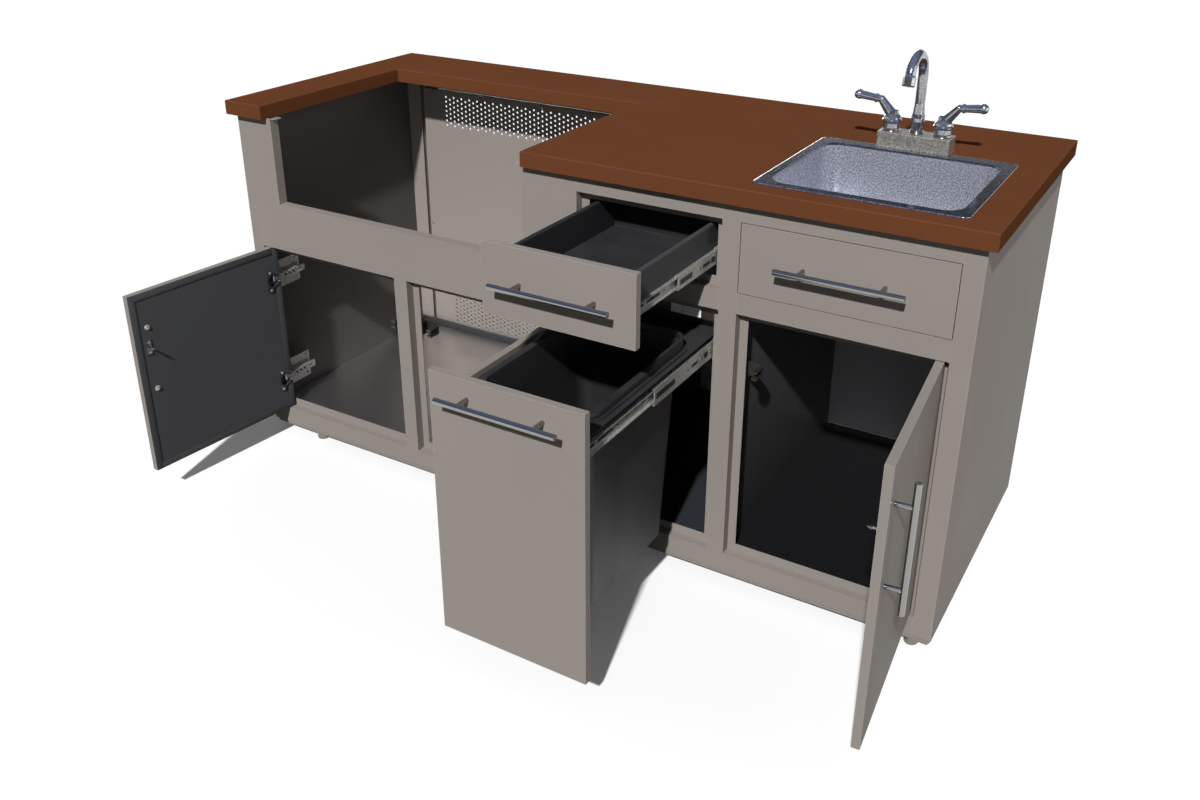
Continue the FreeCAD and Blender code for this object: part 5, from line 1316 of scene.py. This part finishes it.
@dataclass
class Studio:
    """The pale floor, the white surroundings, the lamps and the camera."""

    camera_place: tuple[float, float, float] = (1.27564, -1.97660, 1.55790)
    camera_turn: tuple[float, float, float] = (65.9494, -0.2519, 30.6571)
    sensor: float = 36.0
    lens: float = 34.054
    shift: Pair = (-0.00545, -0.06741)
    lamps: tuple[Lamp, ...] = (Lamp("key", (0.187, -0.72, 0.665), 1.33, 2.0),
                               Lamp("side", (1.0, 0.03, 0.0), 0.31, 60.0),
                               Lamp("back", (-0.5, 0.86, 0.0), 0.5, 24.0))
    lamp_far: float = 4.0
    floor_half: float = 14.0
    floor_tone: float = 0.95
    floor_bounce: float = 0.15
    floor_glow: float = 0.05
    floor_rough: float = 0.9
    floor_gloss: float = 0.1
    world_level: float = 0.10
    backdrop: tuple[tuple[float, RGB], ...] = (
        (0.0, (1.0, 1.0, 1.0)), (0.14, (1.0, 1.0, 1.0)), (0.27, (0.055, 0.06, 0.06)),
        (0.50, (0.07, 0.08, 0.11)), (0.72, (0.16, 0.23, 0.46)), (1.0, (0.20, 0.29, 0.58)))

    def lamp(self, lamp: Lamp) -> None:
        """Set up a lamp that lights the island evenly from one side.

        Args:
            lamp: The lamp.
        """
        data = bpy.data.lights.new(lamp.name, "SUN")
        data.energy = math.pi * lamp.strength
        data.angle = math.radians(lamp.spread)
        made = bpy.data.objects.new(lamp.name, data)
        way = Vector(lamp.way).normalized()
        made.rotation_euler = way.to_track_quat("Z", "Y").to_euler()
        made.location = way * self.lamp_far
        bpy.context.scene.collection.objects.link(made)

    @staticmethod
    def seen(tree: Tree) -> Socket:
        """A mask of what the camera, a mirror and glass see, and not what lights the island.

        Args:
            tree: The tree of the floor's paint or of the world.

        Returns:
            The mask.
        """
        ray = tree.add("ShaderNodeLightPath")
        mask = tree.math("MAXIMUM", ray.outputs["Is Camera Ray"], ray.outputs["Is Glossy Ray"])
        return tree.math("MAXIMUM", mask, ray.outputs["Is Transmission Ray"])

    def floor(self) -> None:
        """A pale floor that keeps the island's shadow."""
        mesh = bmesh.new()
        bmesh.ops.create_grid(mesh, x_segments=2, y_segments=2, size=self.floor_half)
        data = bpy.data.meshes.new("floor")
        mesh.to_mesh(data)
        mesh.free()
        material = bpy.data.materials.new("floor_paint")
        material.use_nodes = True
        skin = Skin(material)
        seen = self.seen(skin)
        white, dim = [(tone, tone, tone, 1.0) for tone in (self.floor_tone, self.floor_bounce)]
        skin.set("Base Color", skin.blend(seen, dim, white))
        skin.set("Emission Strength", skin.spread(seen, 0.0, 1.0, 0.0, self.floor_glow))
        skin.set("Emission Color", (1.0, 1.0, 1.0, 1.0))
        skin.set("Roughness", self.floor_rough)
        skin.set("Specular IOR Level", self.floor_gloss)
        data.materials.append(material)
        floor = bpy.data.objects.new("floor", data)
        bpy.context.scene.collection.objects.link(floor)

    def world(self) -> None:
        """White surroundings with a blue-grey ceiling, as seen and mirrored, and a plain level of light."""
        world = bpy.data.worlds.new("studio")
        bpy.context.scene.world = world
        world.use_nodes = True
        tree = Tree(world.node_tree)
        background = world.node_tree.nodes["Background"]
        seen = self.seen(tree)
        sky = tree.add("ShaderNodeTexCoord").outputs["Generated"]
        backdrop = tree.add("ShaderNodeValToRGB", {"Fac": tree.part(sky, UP)})
        ramp = backdrop.color_ramp
        for number, (height, tone) in enumerate(self.backdrop):
            stop = ramp.elements[number] if number < 2 else ramp.elements.new(height)
            stop.position = height
            stop.color = (*tone, 1.0)
        shown = tree.blend(seen, (1.0, 1.0, 1.0, 1.0), backdrop.outputs["Color"])
        tree.link(shown, background.inputs["Color"])
        tree.link(tree.spread(seen, 0.0, 1.0, self.world_level, 1.0), background.inputs["Strength"])

    def camera(self) -> None:
        """The camera at the photograph's viewing angle."""
        data = bpy.data.cameras.new("camera")
        data.sensor_fit = "HORIZONTAL"
        data.sensor_width = self.sensor
        data.lens = self.lens
        data.shift_x, data.shift_y = self.shift
        camera = bpy.data.objects.new("camera", data)
        camera.location = self.camera_place
        camera.rotation_euler = Euler([math.radians(a) for a in self.camera_turn], "XYZ")
        bpy.context.scene.collection.objects.link(camera)
        bpy.context.scene.camera = camera

    def build(self) -> None:
        """Set up the floor, the world, the lamps and the camera."""
        self.camera()
        self.world()
        self.floor()
        for lamp in self.lamps:
            self.lamp(lamp)
        bpy.context.scene.view_settings.view_transform = "Standard"


def doors() -> list[Door]:
    """The three hinged doors, open as the photograph shows them."""
    return [Door("left", left=35.0, right=465.0, side=1, head=542.0, rest=95.6, pins=(166.0, 451.0),
                 catch_z=402.0),
            Door("mid", left=503.0, right=941.0, side=-1, head=542.0, rest=90.0, pins=(166.0, 451.0),
                 catch_z=402.0),
            Door("right", left=1353.0, right=1776.0, side=-1, head=651.0, rest=95.0, pins=(166.0, 560.0),
                 catch_z=510.0)]


def main() -> None:
    """Dress the island, add its small pieces and set up the studio."""
    logging.basicConfig(level=logging.INFO, format="%(name)s %(message)s")
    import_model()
    for unit in (Studio(), Case(), VentPanel(), *doors(), Column(), SinkUnit()):
        unit.build()


if __name__ == "__main__":
    main()
